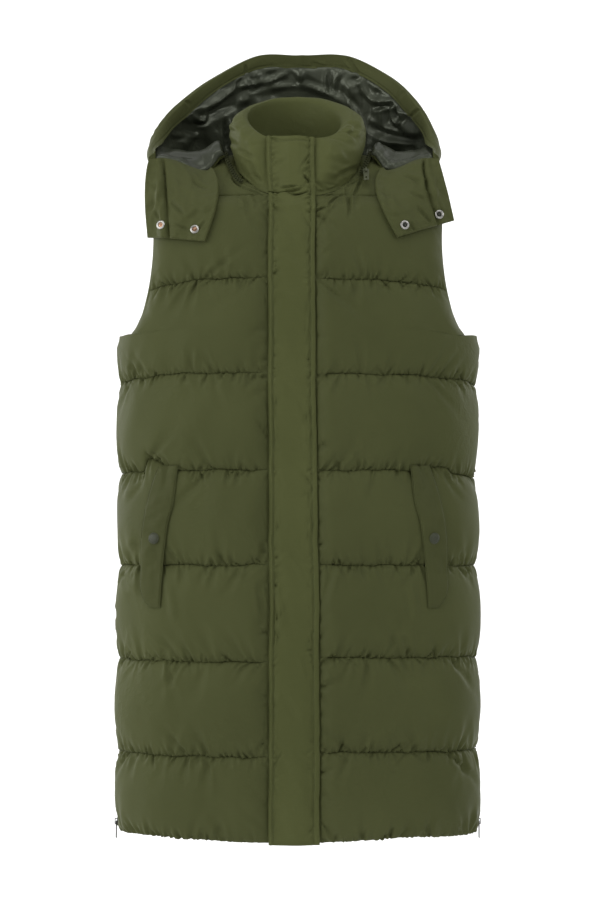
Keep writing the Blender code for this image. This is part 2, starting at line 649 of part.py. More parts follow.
class Hood:
    """The hood, lying down. Its lower edge rests on the strip of zip round the collar."""

    def __init__(self, strip):
        edge = strip[1] + (0, 0, LINING_THICKNESS + SEAM_GAP + HOOD_SHELL_THICKNESS)
        away = edge - (0, NECK_MIDDLE_Y, 0)
        angles = np.degrees(np.arctan2(away[:, 0], away[:, 1]))
        self.start_angles = angles
        self.start_radii = np.hypot(away[:, 0], away[:, 1])
        self.start_heights = edge[:, 2]

    def point(self, angle, share):
        """The inside at this angle from the middle of the back, and this share of the way to the brim."""
        start_r = np.interp(angle, self.start_angles, self.start_radii)
        start_z = np.interp(angle, self.start_angles, self.start_heights)
        at = {name: read(HOOD, name, "angle", abs(angle)) for name in HOOD}
        radius = smooth(HOOD_KNOTS, (start_r, at["floor_r"], at["wall_r"], at["brim_r"]), share)
        z = smooth(HOOD_KNOTS, (start_z + at["start_lift"], at["floor_z"], at["wall_z"], at["brim_z"]), share)
        z += HOOD_RISE * math.sin(math.pi * min(share / HOOD_KNOTS[1], 1.0))
        turn = math.radians(angle)
        lean = HOOD_LEAN * (z - HOOD_LEAN_Z) * share**2
        return [radius * math.sin(turn) + lean, NECK_MIDDLE_Y + radius * math.cos(turn), z]

    def grid(self, angles, shares):
        """Inside points, and the directions out of them, away from the hollow."""
        angles = np.asarray(angles)
        points = np.array([[self.point(a, s) for a in angles] for s in shares])
        beside = np.array([[self.point(a + HOOD_STEP_ANGLE, s) for a in angles] for s in shares])
        before = np.array([[self.point(a - HOOD_STEP_ANGLE, s) for a in angles] for s in shares])
        further = np.array([[self.point(a, min(s + HOOD_STEP_SHARE, 1.0)) for a in angles] for s in shares])
        nearer = np.array([[self.point(a, max(s - HOOD_STEP_SHARE, 0.0)) for a in angles] for s in shares])
        outward = unit(np.cross(further - nearer, beside - before))
        outward[np.array(shares) == 0] = (0, 0, -1)
        return points, outward

    def angles(self):
        """The columns of points of the right, centre and left panels, which the inner layers share."""
        left = np.linspace(HOOD_SEAM_ANGLE, HOOD_END_ANGLE, SIDE_HOOD_COLUMNS)
        centre = np.linspace(-HOOD_SEAM_ANGLE, HOOD_SEAM_ANGLE, CENTRE_HOOD_COLUMNS)
        return -left[::-1], centre, left

    def inner_angles(self):
        right, centre, left = self.angles()
        return np.concatenate([right, centre[1:-1], left])

    def lining(self):
        shares = [s for s in HOOD_ROWS if s < BAND_START] + [BAND_START]
        inner, outward = self.grid(self.inner_angles(), shares)
        wall("hood_lining", inner, inner + outward * LINING_THICKNESS, lining_cloth())

    def band(self):
        """The band of shell cloth that faces the brim inside."""
        inner, outward = self.grid(self.inner_angles(), [s for s in HOOD_ROWS if s >= BAND_START])
        inner[0] += unit(inner[1] - inner[0]) * 2 * SEAM_GAP
        wall("hood_band", inner - outward * BAND_RISE, inner + outward * LINING_THICKNESS, shell_cloth())

    def shell(self, name, angles):
        """One of the outer panels, over these angles."""
        inner, outward = self.grid(angles, HOOD_ROWS)
        shares = np.array(HOOD_ROWS)[:, None]
        across = ((angles - angles[0]) / (angles[-1] - angles[0]))[None, :]
        lofts = HOOD_LOFT * bump(shares) * bump(across)
        start = inner + outward * (LINING_THICKNESS + SEAM_GAP)
        wall(name, start, start + outward * (HOOD_SHELL_THICKNESS + lofts)[..., None], shell_cloth())

    def build(self):
        right, centre, left = self.angles()
        right[-1] -= HOOD_SEAM_GAP_ANGLE
        left[0] += HOOD_SEAM_GAP_ANGLE
        self.shell("hood_right", right)
        self.shell("hood_centre", centre)
        self.shell("hood_left", left)
        self.lining()
        self.band()


def flap_panel(hood, side, tree):
    """Inner and outer points of the hood's front end that hangs over a shoulder."""
    flap = FLAPS[side]
    sign = 1 if side == "left" else -1
    top, outward = hood.grid([sign * HOOD_END_ANGLE], HOOD_ROWS[1:])
    turn = math.radians(HOOD_END_ANGLE + 90)
    ahead = np.array((sign * math.sin(turn), math.cos(turn), 0))
    top = top[:, 0] + ahead * SEAM_GAP
    under = top + outward[:, 0] * (LINING_THICKNESS + SEAM_GAP + HOOD_SHELL_THICKNESS)
    across = (np.array(HOOD_ROWS[1:]) - HOOD_ROWS[1]) / (1 - HOOD_ROWS[1])
    bottom_x = sign * (flap.bottom_in_x + across * (flap.bottom_out_x - flap.bottom_in_x))
    bottom_z = flap.bottom_in_z + across * (flap.bottom_out_z - flap.bottom_in_z)
    rows = [under]
    for down in np.linspace(0, 1, FLAP_ROWS)[1:]:
        bulge = math.sin(math.pi * down) * (flap.outer_bulge * across - flap.inner_bulge * (1 - across))
        x = under[:, 0] + down * (bottom_x - under[:, 0]) + sign * bulge
        z = under[:, 2] + down * (bottom_z - under[:, 2])
        hung = -under[:, 1] + FLAP_LEAN * math.sin(math.pi / 2 * down)
        on_panel = [depth_on(tree, np.clip(a, -FLAP_REST_X, FLAP_REST_X), b) for a, b in zip(x, z)]
        depth = taut(np.maximum(hung, np.array(on_panel) + FLAP_CLEARANCE), across)
        rows.append(np.stack([x, -depth, z], axis=1))
    inner = np.array(rows)
    downs = np.linspace(0, 1, FLAP_ROWS)
    inner[..., 1] = -np.stack([taut(column, downs) for column in -inner[..., 1].T], axis=1)
    normals = grid_normals(inner) * sign
    normals = np.where(normals[..., 1:2] > 0, -normals, normals)
    lofts = FLAP_LOFT * bump(downs[:, None]) * bump(across[None, :])
    outer = inner + normals * (FLAP_THICKNESS + lofts)[..., None]
    outer[0] = top
    return inner, outer


# What lies on the fronts

def pocket_panel(side, tree):
    """Inner and outer points of a pocket's welt, taut over the quilting."""
    sign = 1 if side == "left" else -1
    levels = np.linspace(POCKET["z"][0], POCKET["z"][-1], POCKET_ROWS)
    across = np.linspace(0, 1, POCKET_STEPS)
    front_x = read(POCKET, "front_x", "z", levels) + POCKET_SHIFT[side]
    side_x = read(POCKET, "side_x", "z", levels) + POCKET_SHIFT[side]
    xs = sign * (front_x[:, None] + across[None, :] * (side_x - front_x)[:, None])
    depths = np.array([[depth_on(tree, x, z) for x in row] for row, z in zip(xs, levels)])
    depths = np.stack([taut(column, levels) for column in depths.T], axis=1) + POCKET_CLEARANCE
    inner = np.stack([xs, -depths, np.repeat(levels[:, None], POCKET_STEPS, axis=1)], axis=2)
    normals = grid_normals(inner) * sign
    up = ((levels - levels[0]) / (levels[-1] - levels[0]))[:, None]
    lofts = POCKET_LOFT * bump(up) * bump(across[None, :])
    return inner, inner + normals * (POCKET_THICKNESS + lofts)[..., None]


def snap(name, place, normal, radius, finish):
    """A snap's round cap, lying on cloth."""
    mesh = bmesh.new()
    points = [mesh.verts.new((radius * r, 0, radius * h)) for r, h in SNAP_PROFILE]
    edges = [mesh.edges.new(pair) for pair in zip(points, points[1:])]
    bmesh.ops.spin(
        mesh, geom=points + edges, axis=(0, 0, 1), cent=(0, 0, 0),
        steps=SNAP_STEPS, angle=math.tau, use_merge=True,
    )
    bmesh.ops.remove_doubles(mesh, verts=mesh.verts, dist=TINY)
    turn = Vector((0, 0, 1)).rotation_difference(Vector(normal)).to_matrix().to_4x4()
    origin = Vector(place) + Vector(normal) * SEAM_GAP
    bmesh.ops.transform(mesh, matrix=Matrix.Translation(origin) @ turn, verts=mesh.verts)
    return finished(name, mesh, finish, origin)


def snap_on(name, outer, x, z, radius, finish):
    """Puts a snap on a piece's outer points at this place, clear of its highest point under the cap."""
    tree = surface_tree(outer)
    hit, normal, _, _ = tree.ray_cast(Vector((x, -FAR, z)), Vector((0, 1, 0)))
    normal = normal if normal.y < 0 else -normal
    side = normal.orthogonal().normalized()
    rise = 0.0
    for k in range(SNAP_SPOKES):
        spoke = Matrix.Rotation(math.tau * k / SNAP_SPOKES, 3, normal) @ side * radius
        near = tree.ray_cast(hit + spoke + normal * SNAP_FEEL, -normal)[0]
        if near:
            rise = max(rise, (near - hit).dot(normal))
    return snap(name, hit + normal * rise, normal, radius, finish)


# Zips

def side_seam(front_outer):
    """The outer points of a front along the side seam, from the hem to the underarm."""
    seam = front_outer[:-YOKE_ROWS, -1]
    return seam[np.array(channel_levels()) <= UNDERARM]


def side_chain(name, front_outer, side):
    """The closed side zip, over the side seam just above the hem."""
    seam = side_seam(front_outer)
    levels = [z for z in seam[:, 2] if SIDE_ZIP_BOTTOM + SEAM_THICKNESS < z < SIDE_ZIP_TOP - SEAM_THICKNESS]
    levels = [SIDE_ZIP_BOTTOM] + levels + [SIDE_ZIP_TOP]
    xs = np.interp(levels, seam[:, 2], np.abs(seam[:, 0])) + CHAIN_LIFT
    edges = (-CHAIN_WIDTH / 2, CHAIN_WIDTH / 2)
    inner = np.array([[(side * x, y, z) for y in edges] for x, z in zip(xs, levels)])
    return wall(name, inner, inner + (side * CHAIN_THICKNESS, 0, 0), dark_metal())


def ring_on(trees, radius, angles):
    """Points on these surfaces, round the neck at this radius."""
    xs, ys = radius * np.sin(angles), NECK_MIDDLE_Y + radius * np.cos(angles)
    return np.array([(x, y, height_on(trees, x, y)) for x, y in zip(xs, ys)])


def hood_chain(trees):
    """The strip of zip that holds the hood, on the panels just outside the collar, from right to left."""
    angles = np.radians(np.arange(HOOD_ZIP_RIGHT, HOOD_ZIP_LEFT + 1, HOOD_ZIP_STEP))
    rows = []
    for radius in (HOOD_ZIP_INNER_R, HOOD_ZIP_OUTER_R):
        row = ring_on(trees, radius, angles)
        between = ring_on(trees, radius, (angles[:-1] + angles[1:]) / 2)
        excess = np.maximum(between[:, 2] - (row[:-1, 2] + row[1:, 2]) / 2, 0)
        row[:, 2] += np.maximum(np.append(excess, 0), np.append(0, excess))
        rows.append(row)
    grid = np.array(rows)
    middle = ring_on(trees, (HOOD_ZIP_INNER_R + HOOD_ZIP_OUTER_R) / 2, angles)
    grid[..., 2] += np.maximum(middle[:, 2] - grid[..., 2].mean(axis=0), 0)
    normals = grid_normals(grid)
    inner = grid + normals * HOOD_ZIP_CLEARANCE
    return inner, inner + normals * HOOD_ZIP_THICKNESS


def blocks(xs, ys, zs, filled):
    """A mesh of the outside of the filled cells of a grid of blocks. A cell is its place along x, y and z."""
    mesh = bmesh.new()
    corners = {}

    def corner(i, j, k):
        if (i, j, k) not in corners:
            corners[i, j, k] = mesh.verts.new((xs[i], ys[j], zs[k]))
        return corners[i, j, k]

    for cell in filled:
        for axis in range(3):
            for step in (-1, 1):
                beside = list(cell)
                beside[axis] += step
                if tuple(beside) in filled:
                    continue
                fixed = cell[axis] + (step > 0)
                one, two = (axis + 1) % 3, (axis + 2) % 3
                ring = []
                for a, b in ((0, 0), (1, 0), (1, 1), (0, 1)):
                    place = [0, 0, 0]
                    place[axis], place[one], place[two] = fixed, cell[one] + a, cell[two] + b
                    ring.append(corner(*place))
                mesh.faces.new(ring)
    return mesh


def placed(mesh, facing, pivot):
    """Turns a piece that faces -Y so that it faces this way, and moves its pivot to its place."""
    turn = Vector((0, -1, 0)).rotation_difference(Vector(facing)).to_matrix().to_4x4()
    bmesh.ops.transform(mesh, matrix=Matrix.Translation(pivot) @ turn, verts=mesh.verts)


def slider(name, facing, pivot, finish):
    """A zip slider with its bridge. The pivot is in the gap under the bridge, where the pull's bar lies."""
    gap, half = BRIDGE_GAP / 2, BRIDGE_HALF_HEIGHT
    xs = (-SLIDER_WIDTH / 2, -BRIDGE_WIDTH / 2, BRIDGE_WIDTH / 2, SLIDER_WIDTH / 2)
    ys = (-gap - BRIDGE_THICKNESS, -gap, gap, gap + SLIDER_DEPTH)
    zs = (-SLIDER_HEIGHT / 2, -half, BRIDGE_THICKNESS - half, half - BRIDGE_THICKNESS, half, SLIDER_HEIGHT / 2)
    body = {(i, 2, k) for i in range(3) for k in range(5)}
    bridge = {(1, 0, 1), (1, 0, 2), (1, 0, 3), (1, 1, 1), (1, 1, 3)}
    mesh = blocks(xs, ys, zs, body | bridge)
    placed(mesh, facing, pivot)
    return finished(name, mesh, finish, pivot)


def pull(name, facing, pivot, finish):
    """A pull tab that hangs from its bar. The origin is on the joint's axis, in the middle of the bar."""
    xs = (
        -PULL_WIDTH / 2, -PULL_EYE_WIDTH / 2, -PULL_SLOT_WIDTH / 2,
        PULL_SLOT_WIDTH / 2, PULL_EYE_WIDTH / 2, PULL_WIDTH / 2,
    )
    ys = (-PULL_THICKNESS / 2, PULL_THICKNESS / 2)
    slot_low = PULL_SLOT_FROM_END - PULL_LENGTH
    zs = (-PULL_LENGTH, slot_low, slot_low + PULL_SLOT_LENGTH, -PULL_EYE_LENGTH, -PULL_BAR / 2, PULL_BAR / 2)
    eye = {(1, 0, 3), (2, 0, 3), (3, 0, 3)}
    slot = {(2, 0, 1)}
    mesh = blocks(xs, ys, zs, {(i, 0, k) for i in range(5) for k in range(5)} - eye - slot)
    placed(mesh, facing, pivot)
    return finished(name, mesh, finish, pivot)


def side_zip(word, side, front_outer):
    side_chain("side_zip_" + word, front_outer, side)
    seam = side_seam(front_outer)
    edge = np.interp(SIDE_ZIP_BOTTOM, seam[:, 2], np.abs(seam[:, 0]))
    reach = edge + CHAIN_LIFT + CHAIN_THICKNESS + SEAM_GAP + SLIDER_DEPTH + BRIDGE_GAP / 2
    pivot = (side * reach, 0, SIDE_ZIP_BOTTOM)
    slider("side_zip_slider_" + word, (side, 0, 0), pivot, dark_metal())
    pull("side_zip_pull_" + word, (side, 0, 0), pivot, dark_metal())


def hood_zip(panels):
    """The hood's zip, with its slider at the left end, and the pull lying on the slope of the front."""
    trees = [surface_tree(panel) for panel in panels]
    inner, outer = hood_chain(trees)
    wall("hood_zip", inner, outer, dark_metal())
    angle = math.radians(HOOD_SLIDER_ANGLE)
    x, y = HOOD_SLIDER_R * math.sin(angle), NECK_MIDDLE_Y + HOOD_SLIDER_R * math.cos(angle)
    rise = height_on(trees, x, y + HOOD_SLOPE_STEP) - height_on(trees, x, y - HOOD_SLOPE_STEP)
    facing = Vector((0, -rise, 2 * HOOD_SLOPE_STEP)).normalized()
    reach = HOOD_SLIDER_CLEARANCE + SLIDER_DEPTH + BRIDGE_GAP / 2
    pivot = Vector((x, y, height_on(trees, x, y))) + facing * reach
    slider("hood_zip_slider", facing, pivot, dark_metal())
    pull("hood_zip_pull", facing, pivot, dark_metal())
    return outer


def main():
    clear_scene()
    right_inner, right_outer = front_panel(-1)
    left_inner, left_outer = front_panel(1)
    back_inner_points, back_outer, back_neck = back_panel()
    wall("front_right", right_inner, right_outer, shell_cloth())
    wall("front_left", left_inner, left_outer, shell_cloth())
    wall("back", back_inner_points, back_outer, shell_cloth())

    collar_inner, collar_outer = collar_panel(neck_ring(right_inner, back_inner_points, left_inner, back_neck))
    wall("collar", collar_inner, collar_outer, shell_cloth())
    inner_strip = front_strip(right_inner, left_inner, collar_inner)
    outer_strip = front_strip(right_outer, left_outer, collar_outer)
    wall("placket", *placket_panel(outer_strip), shell_cloth())
    wall("front_zip", *zip_panel(inner_strip, outer_strip), dark_metal())

    hood = Hood(hood_zip((right_outer, back_outer, left_outer)))
    hood.build()

    for word, side, outer in (("right", -1, right_outer), ("left", 1, left_outer)):
        tree = surface_tree(outer)
        side_zip(word, side, outer)
        flap_inner, flap_outer = flap_panel(hood, word, tree)
        wall("hood_flap_" + word, flap_inner, flap_outer, shell_cloth())
        for cap in (cap for cap in FLAP_SNAPS if cap.side == word):
            name = "hood_snap_" + cap.side + "_" + cap.place
            snap_on(name, flap_outer, cap.x, cap.z, FLAP_SNAP_RADIUS, bright_metal())
        welt_inner, welt_outer = pocket_panel(word, tree)
        wall("pocket_welt_" + word, welt_inner, welt_outer, shell_cloth())
        snap_x = side * (POCKET_SNAP_X + POCKET_SHIFT[word])
        snap_on("pocket_snap_" + word, welt_outer, snap_x, POCKET_SNAP_Z, POCKET_SNAP_RADIUS, dark_metal())


main()
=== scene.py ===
"""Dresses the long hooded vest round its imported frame: quilted padding, satin lining, zips, snaps and sewing.

Metres, +Z up. The front faces -Y and the wearer's left is +X. Forms are worked out as grids of points, rows
by columns, and every grid becomes a closed cloth wall through Blender's grid and bridge operators.
"""

from __future__ import annotations

import json
import logging
import math
from collections.abc import Iterator, Sequence
from dataclasses import dataclass, field
from enum import Enum
from functools import cache, cached_property

import bmesh
import bpy
import numpy as np
from mathutils import Matrix, Vector
from mathutils.bvhtree import BVHTree

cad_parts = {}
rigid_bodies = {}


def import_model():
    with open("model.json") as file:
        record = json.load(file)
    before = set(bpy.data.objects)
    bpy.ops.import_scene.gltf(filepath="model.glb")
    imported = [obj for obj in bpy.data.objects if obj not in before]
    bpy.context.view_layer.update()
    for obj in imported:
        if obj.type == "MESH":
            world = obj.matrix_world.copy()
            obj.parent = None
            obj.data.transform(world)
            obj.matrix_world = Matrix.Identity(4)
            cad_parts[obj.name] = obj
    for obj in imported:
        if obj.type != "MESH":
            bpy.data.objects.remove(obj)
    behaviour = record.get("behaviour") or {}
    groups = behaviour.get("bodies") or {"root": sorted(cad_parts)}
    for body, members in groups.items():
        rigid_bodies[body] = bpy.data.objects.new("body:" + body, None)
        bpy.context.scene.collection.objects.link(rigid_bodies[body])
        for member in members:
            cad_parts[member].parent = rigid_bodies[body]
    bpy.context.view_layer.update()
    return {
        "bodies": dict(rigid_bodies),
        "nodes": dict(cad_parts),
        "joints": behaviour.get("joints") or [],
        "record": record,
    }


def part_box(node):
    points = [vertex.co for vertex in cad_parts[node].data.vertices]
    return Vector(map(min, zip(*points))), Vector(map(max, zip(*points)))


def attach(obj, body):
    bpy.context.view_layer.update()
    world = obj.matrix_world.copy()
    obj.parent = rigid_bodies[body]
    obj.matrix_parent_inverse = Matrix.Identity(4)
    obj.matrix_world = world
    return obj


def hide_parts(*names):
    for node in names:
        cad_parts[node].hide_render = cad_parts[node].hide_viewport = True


log = logging.getLogger("vest")

Array = np.ndarray
Colour = tuple[float, float, float]
Place = tuple[float, float, float]
Material = bpy.types.Material
MeshData = bpy.types.Mesh
NodeTree = bpy.types.NodeTree
Object = bpy.types.Object
Shape = bmesh.types.BMesh
Socket = bpy.types.NodeSocket

VEST = "vest"  # the body that everything but the pull tabs rides on

SEAM_GAP = 0.0003
SEAM_THICKNESS = 0.003
NECK_MIDDLE_Y = -0.010
LINING_THICKNESS = 0.001
FAR = 1.0  # a distance outside the vest
TINY = 1e-9
WELD = 1e-6  # points nearer than this are one


class Side(Enum):
    """A side of the wearer."""

    RIGHT = -1
    LEFT = 1

    @property
    def word(self) -> str:
        """The side's name in the names of pieces."""
        return self.name.lower()


class Hold(Enum):
    """How a sheet of cloth is held."""

    LAID = "laid"
    HUNG = "hung"
    GATHERED = "gathered"


class Slot(Enum):
    """The record's material slots."""

    SHELL = "shell_cloth"
    LINING = "lining_cloth"
    DARK_METAL = "dark_metal"
    BRIGHT_METAL = "bright_metal"


# Curves and surfaces


def smooth(xs: Array, ys: Array, x: Array | float) -> Array:
    """A smooth curve through points, read at x.

    Args:
        xs: the places of the points, going up.
        ys: their values, one row for each place.
        x: the place or places to read.

    Returns:
        The values at x, with the trailing shape of ys.
    """
    xs = np.asarray(xs, float)
    ys = np.asarray(ys, float)
    slopes = np.gradient(ys, xs, axis=0)
    x = np.clip(np.asarray(x, float), xs[0], xs[-1])
    k = np.clip(np.searchsorted(xs, x) - 1, 0, len(xs) - 2)
    step = xs[k + 1] - xs[k]
    t = (x - xs[k]) / step
    if ys.ndim > 1:
        step, t = step[..., None], t[..., None]
    from_start = (1 + 2 * t) * (1 - t) ** 2 * ys[k] + t * (1 - t) ** 2 * step * slopes[k]
    to_end = t * t * (3 - 2 * t) * ys[k + 1] + t * t * (t - 1) * step * slopes[k + 1]
    return from_start + to_end


def unit(vectors: Array) -> Array:
    """The vectors at length 1."""
    return vectors / np.maximum(np.linalg.norm(vectors, axis=-1, keepdims=True), TINY)


def bump(share: Array | float, power: float = 0.55) -> Array:
    """0 at both ends and 1 in the middle, with full shoulders."""
    share = np.clip(share, 0, 1)
    return (4 * share * (1 - share)) ** power


def peak(off: Array, width: float) -> Array:
    """1 where a distance is 0, falling off softly within this width on both sides."""
    return np.exp(-((off / width) ** 2))


def edge_fade(distance: Array, width: float) -> Array:
    """0 at an edge and 1 from that width inwards."""
    return 1 - (1 - np.clip(distance / width, 0, 1)) ** 2.5


def every(count: int, stride: int) -> Array:
    """Indices from 0 to count - 1 in steps, with the last one."""
    return np.unique(np.append(np.arange(0, count, stride), count - 1))


def lengths(grid: Array, axis: int) -> Array:
    """Distances over the cloth of a grid.

    Args:
        grid: its points, rows by columns.
        axis: 1 for distances along the rows, or 0 along the columns.

    Returns:
        Each point's distance from the first point of its row or column.
    """
    steps = np.linalg.norm(np.diff(grid, axis=axis), axis=-1)
    start = np.zeros_like(np.take(steps, [0], axis=axis))
    return np.concatenate([start, np.cumsum(steps, axis=axis)], axis=axis)


def from_edges(grid: Array) -> tuple[Array, Array, Array, Array]:
    """Distances over the cloth from the first and the last column, and from the first and the last row."""
    run, up = lengths(grid, 1), lengths(grid, 0)
    return run, run[:, [-1]] - run, up, up[[-1]] - up


def grid_normals(grid: Array) -> Array:
    """Unit normals of a grid of points, to the side that its columns and rows give."""
    return unit(np.cross(np.gradient(grid, axis=1), np.gradient(grid, axis=0)))


def columns_at(rows: Array, where: Array, read: Array) -> Array:
    """Rows of numbers, each known at one place along a line, read at other places between them."""
    return np.stack([np.interp(read, where, column) for column in rows.T], axis=1)


def taut(depths: Array, places: Array) -> Array:
    """Raises a row of depths so that cloth pulled over it bridges its hollows.

    Args:
        depths: how far out the ground lies.
        places: where along the row each depth is, going up.

    Returns:
        How far out the cloth lies at each place.
    """
    held: list[int] = []
    for k in range(len(places)):
        while len(held) > 1:
            i, j = held[-2:]
            over = (depths[j] - depths[i]) * (places[k] - places[i])
            if over > (depths[k] - depths[i]) * (places[j] - places[i]):
                break
            held.pop()
        held.append(k)
    return np.interp(places, places[held], depths[held])


def spread_shares(count: int, focus: float) -> Array:
    """Shares from 0 to 1 in this many steps, even at focus 0 and closest together at both ends at focus 1."""
    even = np.linspace(0, 1, count + 1)
    return (1 - focus) * even + focus * (1 - np.cos(math.pi * even)) / 2


def ripple(rng: np.random.Generator, x: Array, y: Array, wave: float, count: int = 16) -> Array:
    """Smooth unevenness.

    Args:
        rng: the source of its waves' directions.
        x: each point's place one way over the cloth.
        y: its place the other way.
        wave: about how long a wave is.
        count: how many waves are added.

    Returns:
        A number for each point, mostly between -1 and 1.
    """
    total = np.zeros(np.broadcast(x, y).shape)
    for _ in range(count):
        turn = rng.uniform(0, math.pi)
        pace = math.tau / (wave * rng.uniform(0.7, 1.7))
        total += np.cos(pace * (x * math.cos(turn) + y * math.sin(turn)) + rng.uniform(0, math.tau))
    return total / math.sqrt(count)


class Table:
    """A short table of numbers with named columns, read as smooth curves over the first of them."""

    def __init__(self, names: str, *rows: Sequence[float]) -> None:
        """Keeps columns that are named with spaces between them, and given row by row."""
        self.places, *values = np.array(rows, float).T
        self.columns = dict(zip(names.split()[1:], values))

    def at(self, name: str, places: Array | float) -> Array:
        """A column's values at these places in the first column."""
        return smooth(self.places, self.columns[name], places)


class Surface:
    """A grid of points that other pieces are laid on."""

    def __init__(self, grid: Array, stride: int = 2) -> None:
        """Builds the search tree.

        Args:
            grid: the points, rows by columns.
            stride: how many points to step over each way.
        """
        kept = grid[np.ix_(every(grid.shape[0], stride), every(grid.shape[1], stride))]
        index = np.arange(kept.shape[0] * kept.shape[1]).reshape(kept.shape[:2])
        corners = (index[:-1, :-1], index[:-1, 1:], index[1:, 1:], index[1:, :-1])
        faces = np.stack(corners, axis=-1).reshape(-1, 4)
        self.tree = BVHTree.FromPolygons(kept.reshape(-1, 3).tolist(), faces.tolist())

    def depth(self, x: float, z: float) -> float:
        """How far forward, towards -Y, the surface lies, or 0 beside it."""
        hit = self.tree.ray_cast(Vector((x, -FAR, z)), Vector((0, 1, 0)))[0]
        return -hit.y if hit else 0.0

    def height(self, x: float, y: float) -> float:
        """How high the surface lies, or far down beside it."""
        hit = self.tree.ray_cast(Vector((x, y, FAR)), Vector((0, 0, -1)))[0]
        return hit.z if hit else -FAR

    def front(self, x: float, z: float) -> tuple[Vector, Vector]:
        """The point and the outward normal that are seen from the front at this place."""
        hit, normal, _, _ = self.tree.ray_cast(Vector((x, -FAR, z)), Vector((0, 1, 0)))
        return hit, normal if normal.y < 0 else -normal


# Finishes


@dataclass
class Wiring:
    """Short ways to add nodes to a tree and join them."""

    tree: NodeTree

    def add(self, kind: str, *inputs: object, **settings: object) -> bpy.types.Node:
        """Adds a node.

        Args:
            kind: the node's type, without ShaderNode.
            *inputs: a socket or a value for each of its inputs in turn, or None to leave one.
            **settings: the node's own settings.

        Returns:
            The node.
        """
        made = self.tree.nodes.new("ShaderNode" + kind)
        for word, value in settings.items():
            setattr(made, word, value)
        for socket, value in zip(made.inputs, inputs):
            self.join(value, socket)
        return made

    def join(self, value: object, socket: Socket) -> None:
        """Links a socket to this one, or sets this one's value."""
        if isinstance(value, Socket):
            self.tree.links.new(value, socket)
        elif value is not None:
            socket.default_value = value

    def math(self, operation: str, *inputs: object) -> Socket:
        """The result of a Math node."""
        return self.add("Math", *inputs, operation=operation).outputs[0]

    def noise(self, place: Socket, scale: object, detail: float, roughness: object) -> bpy.types.Node:
        """A Noise Texture node at these places."""
        return self.add("TexNoise", place, None, scale, detail, roughness)

    def fitted(self, value: object, low: float, high: float, start: float = 0.0, end: float = 1.0) -> Socket:
        """A value mapped from one range to another, kept inside it."""
        return self.add("MapRange", value, low, high, start, end).outputs[0]

    def mixed(self, share: object, first: object, second: object) -> Socket:
        """A colour between two, at this share."""
        made = self.add("Mix", data_type="RGBA")
        for value, socket in ((share, made.inputs[0]), (first, made.inputs[6]), (second, made.inputs[7])):
            self.join(value, socket)
        return made.outputs[2]

    def use(self, made: NodeTree, **values: object) -> bpy.types.NodeOutputs:
        """The outputs of a node group, placed with values or sockets for its named inputs."""
        placed = self.tree.nodes.new("ShaderNodeGroup")
        placed.node_tree = made
        for word, value in values.items():
            self.join(value, placed.inputs[word])
        return placed.outputs


def new_group(
    name: str, inputs: dict[str, float], outputs: Sequence[str]
) -> tuple[Wiring, bpy.types.NodeOutputs, bpy.types.NodeInputs]:
    """A new shader node group whose sockets are all numbers.

    Args:
        name: the group's name.
        inputs: the name and default of each input.
        outputs: the name of each output.

    Returns:
        The wiring of its tree, the sockets that give its inputs, and those that take its outputs.
    """
    made = bpy.data.node_groups.new(name, "ShaderNodeTree")
    for word, default in inputs.items():
        made.interface.new_socket(word, in_out="INPUT", socket_type="NodeSocketFloat").default_value = default
    for word in outputs:
        made.interface.new_socket(word, in_out="OUTPUT", socket_type="NodeSocketFloat")
    return Wiring(made), made.nodes.new("NodeGroupInput").outputs, made.nodes.new("NodeGroupOutput").inputs


@cache
def weave_group() -> NodeTree:
    """Plain weave, from the cloth's own UV map: threads over and under each other."""
    wiring, inputs, outputs = new_group("weave", {"Threads": 2600.0, "Slub": 0.4}, ("Height", "Slubs"))
    place = wiring.add("SeparateXYZ", wiring.add("UVMap", uv_map="cloth").outputs[0]).outputs
    warp = wiring.math("MULTIPLY", place[0], inputs["Threads"])
    weft = wiring.math("MULTIPLY", place[1], inputs["Threads"])
    crossing = wiring.math("MULTIPLY", wiring.math("SINE", warp), wiring.math("SINE", weft))
    stretched = wiring.add("CombineXYZ", wiring.math("MULTIPLY", place[0], 0.05), place[1], 0.0)
    slubs = wiring.noise(stretched.outputs[0], 900.0, 2.0, 0.5).outputs[0]
    slub = wiring.math("MULTIPLY", slubs, inputs["Slub"])
    wiring.join(wiring.math("ADD", crossing, slub), outputs["Height"])
    wiring.join(slubs, outputs["Slubs"])
    return wiring.tree


@cache
def crumple_group() -> NodeTree:
    """Fine creases of thin cloth: sharp little folds in patches, and soft tone over the piece."""
    wiring, inputs, outputs = new_group("crumple", {"Scale": 40.0, "Sharpness": 0.5}, ("Height", "Tone"))
    place = wiring.add("TexCoord").outputs["Object"]
    warp = wiring.add("VectorMath", wiring.noise(place, 9.0, 2.0, 0.5).outputs[1], operation="SCALE")
    warp.inputs["Scale"].default_value = 0.05
    bent = wiring.add("VectorMath", place, warp.outputs[0], operation="ADD").outputs[0]
    noise = wiring.noise(bent, inputs["Scale"], 3.0, inputs["Sharpness"]).outputs[0]
    ridge = wiring.math("ABSOLUTE", wiring.math("SUBTRACT", noise, 0.5))
    patches = wiring.fitted(wiring.noise(place, 11.0, 2.0, 0.5).outputs[0], 0.45, 0.7)
    sharp = wiring.math("MULTIPLY", wiring.fitted(ridge, 0.0, 0.12, 1.0, 0.0), patches)
    wiring.join(wiring.math("ADD", sharp, noise), outputs["Height"])
    wiring.join(wiring.noise(place, 5.0, 3.0, 0.6).outputs[0], outputs["Tone"])
    return wiring.tree


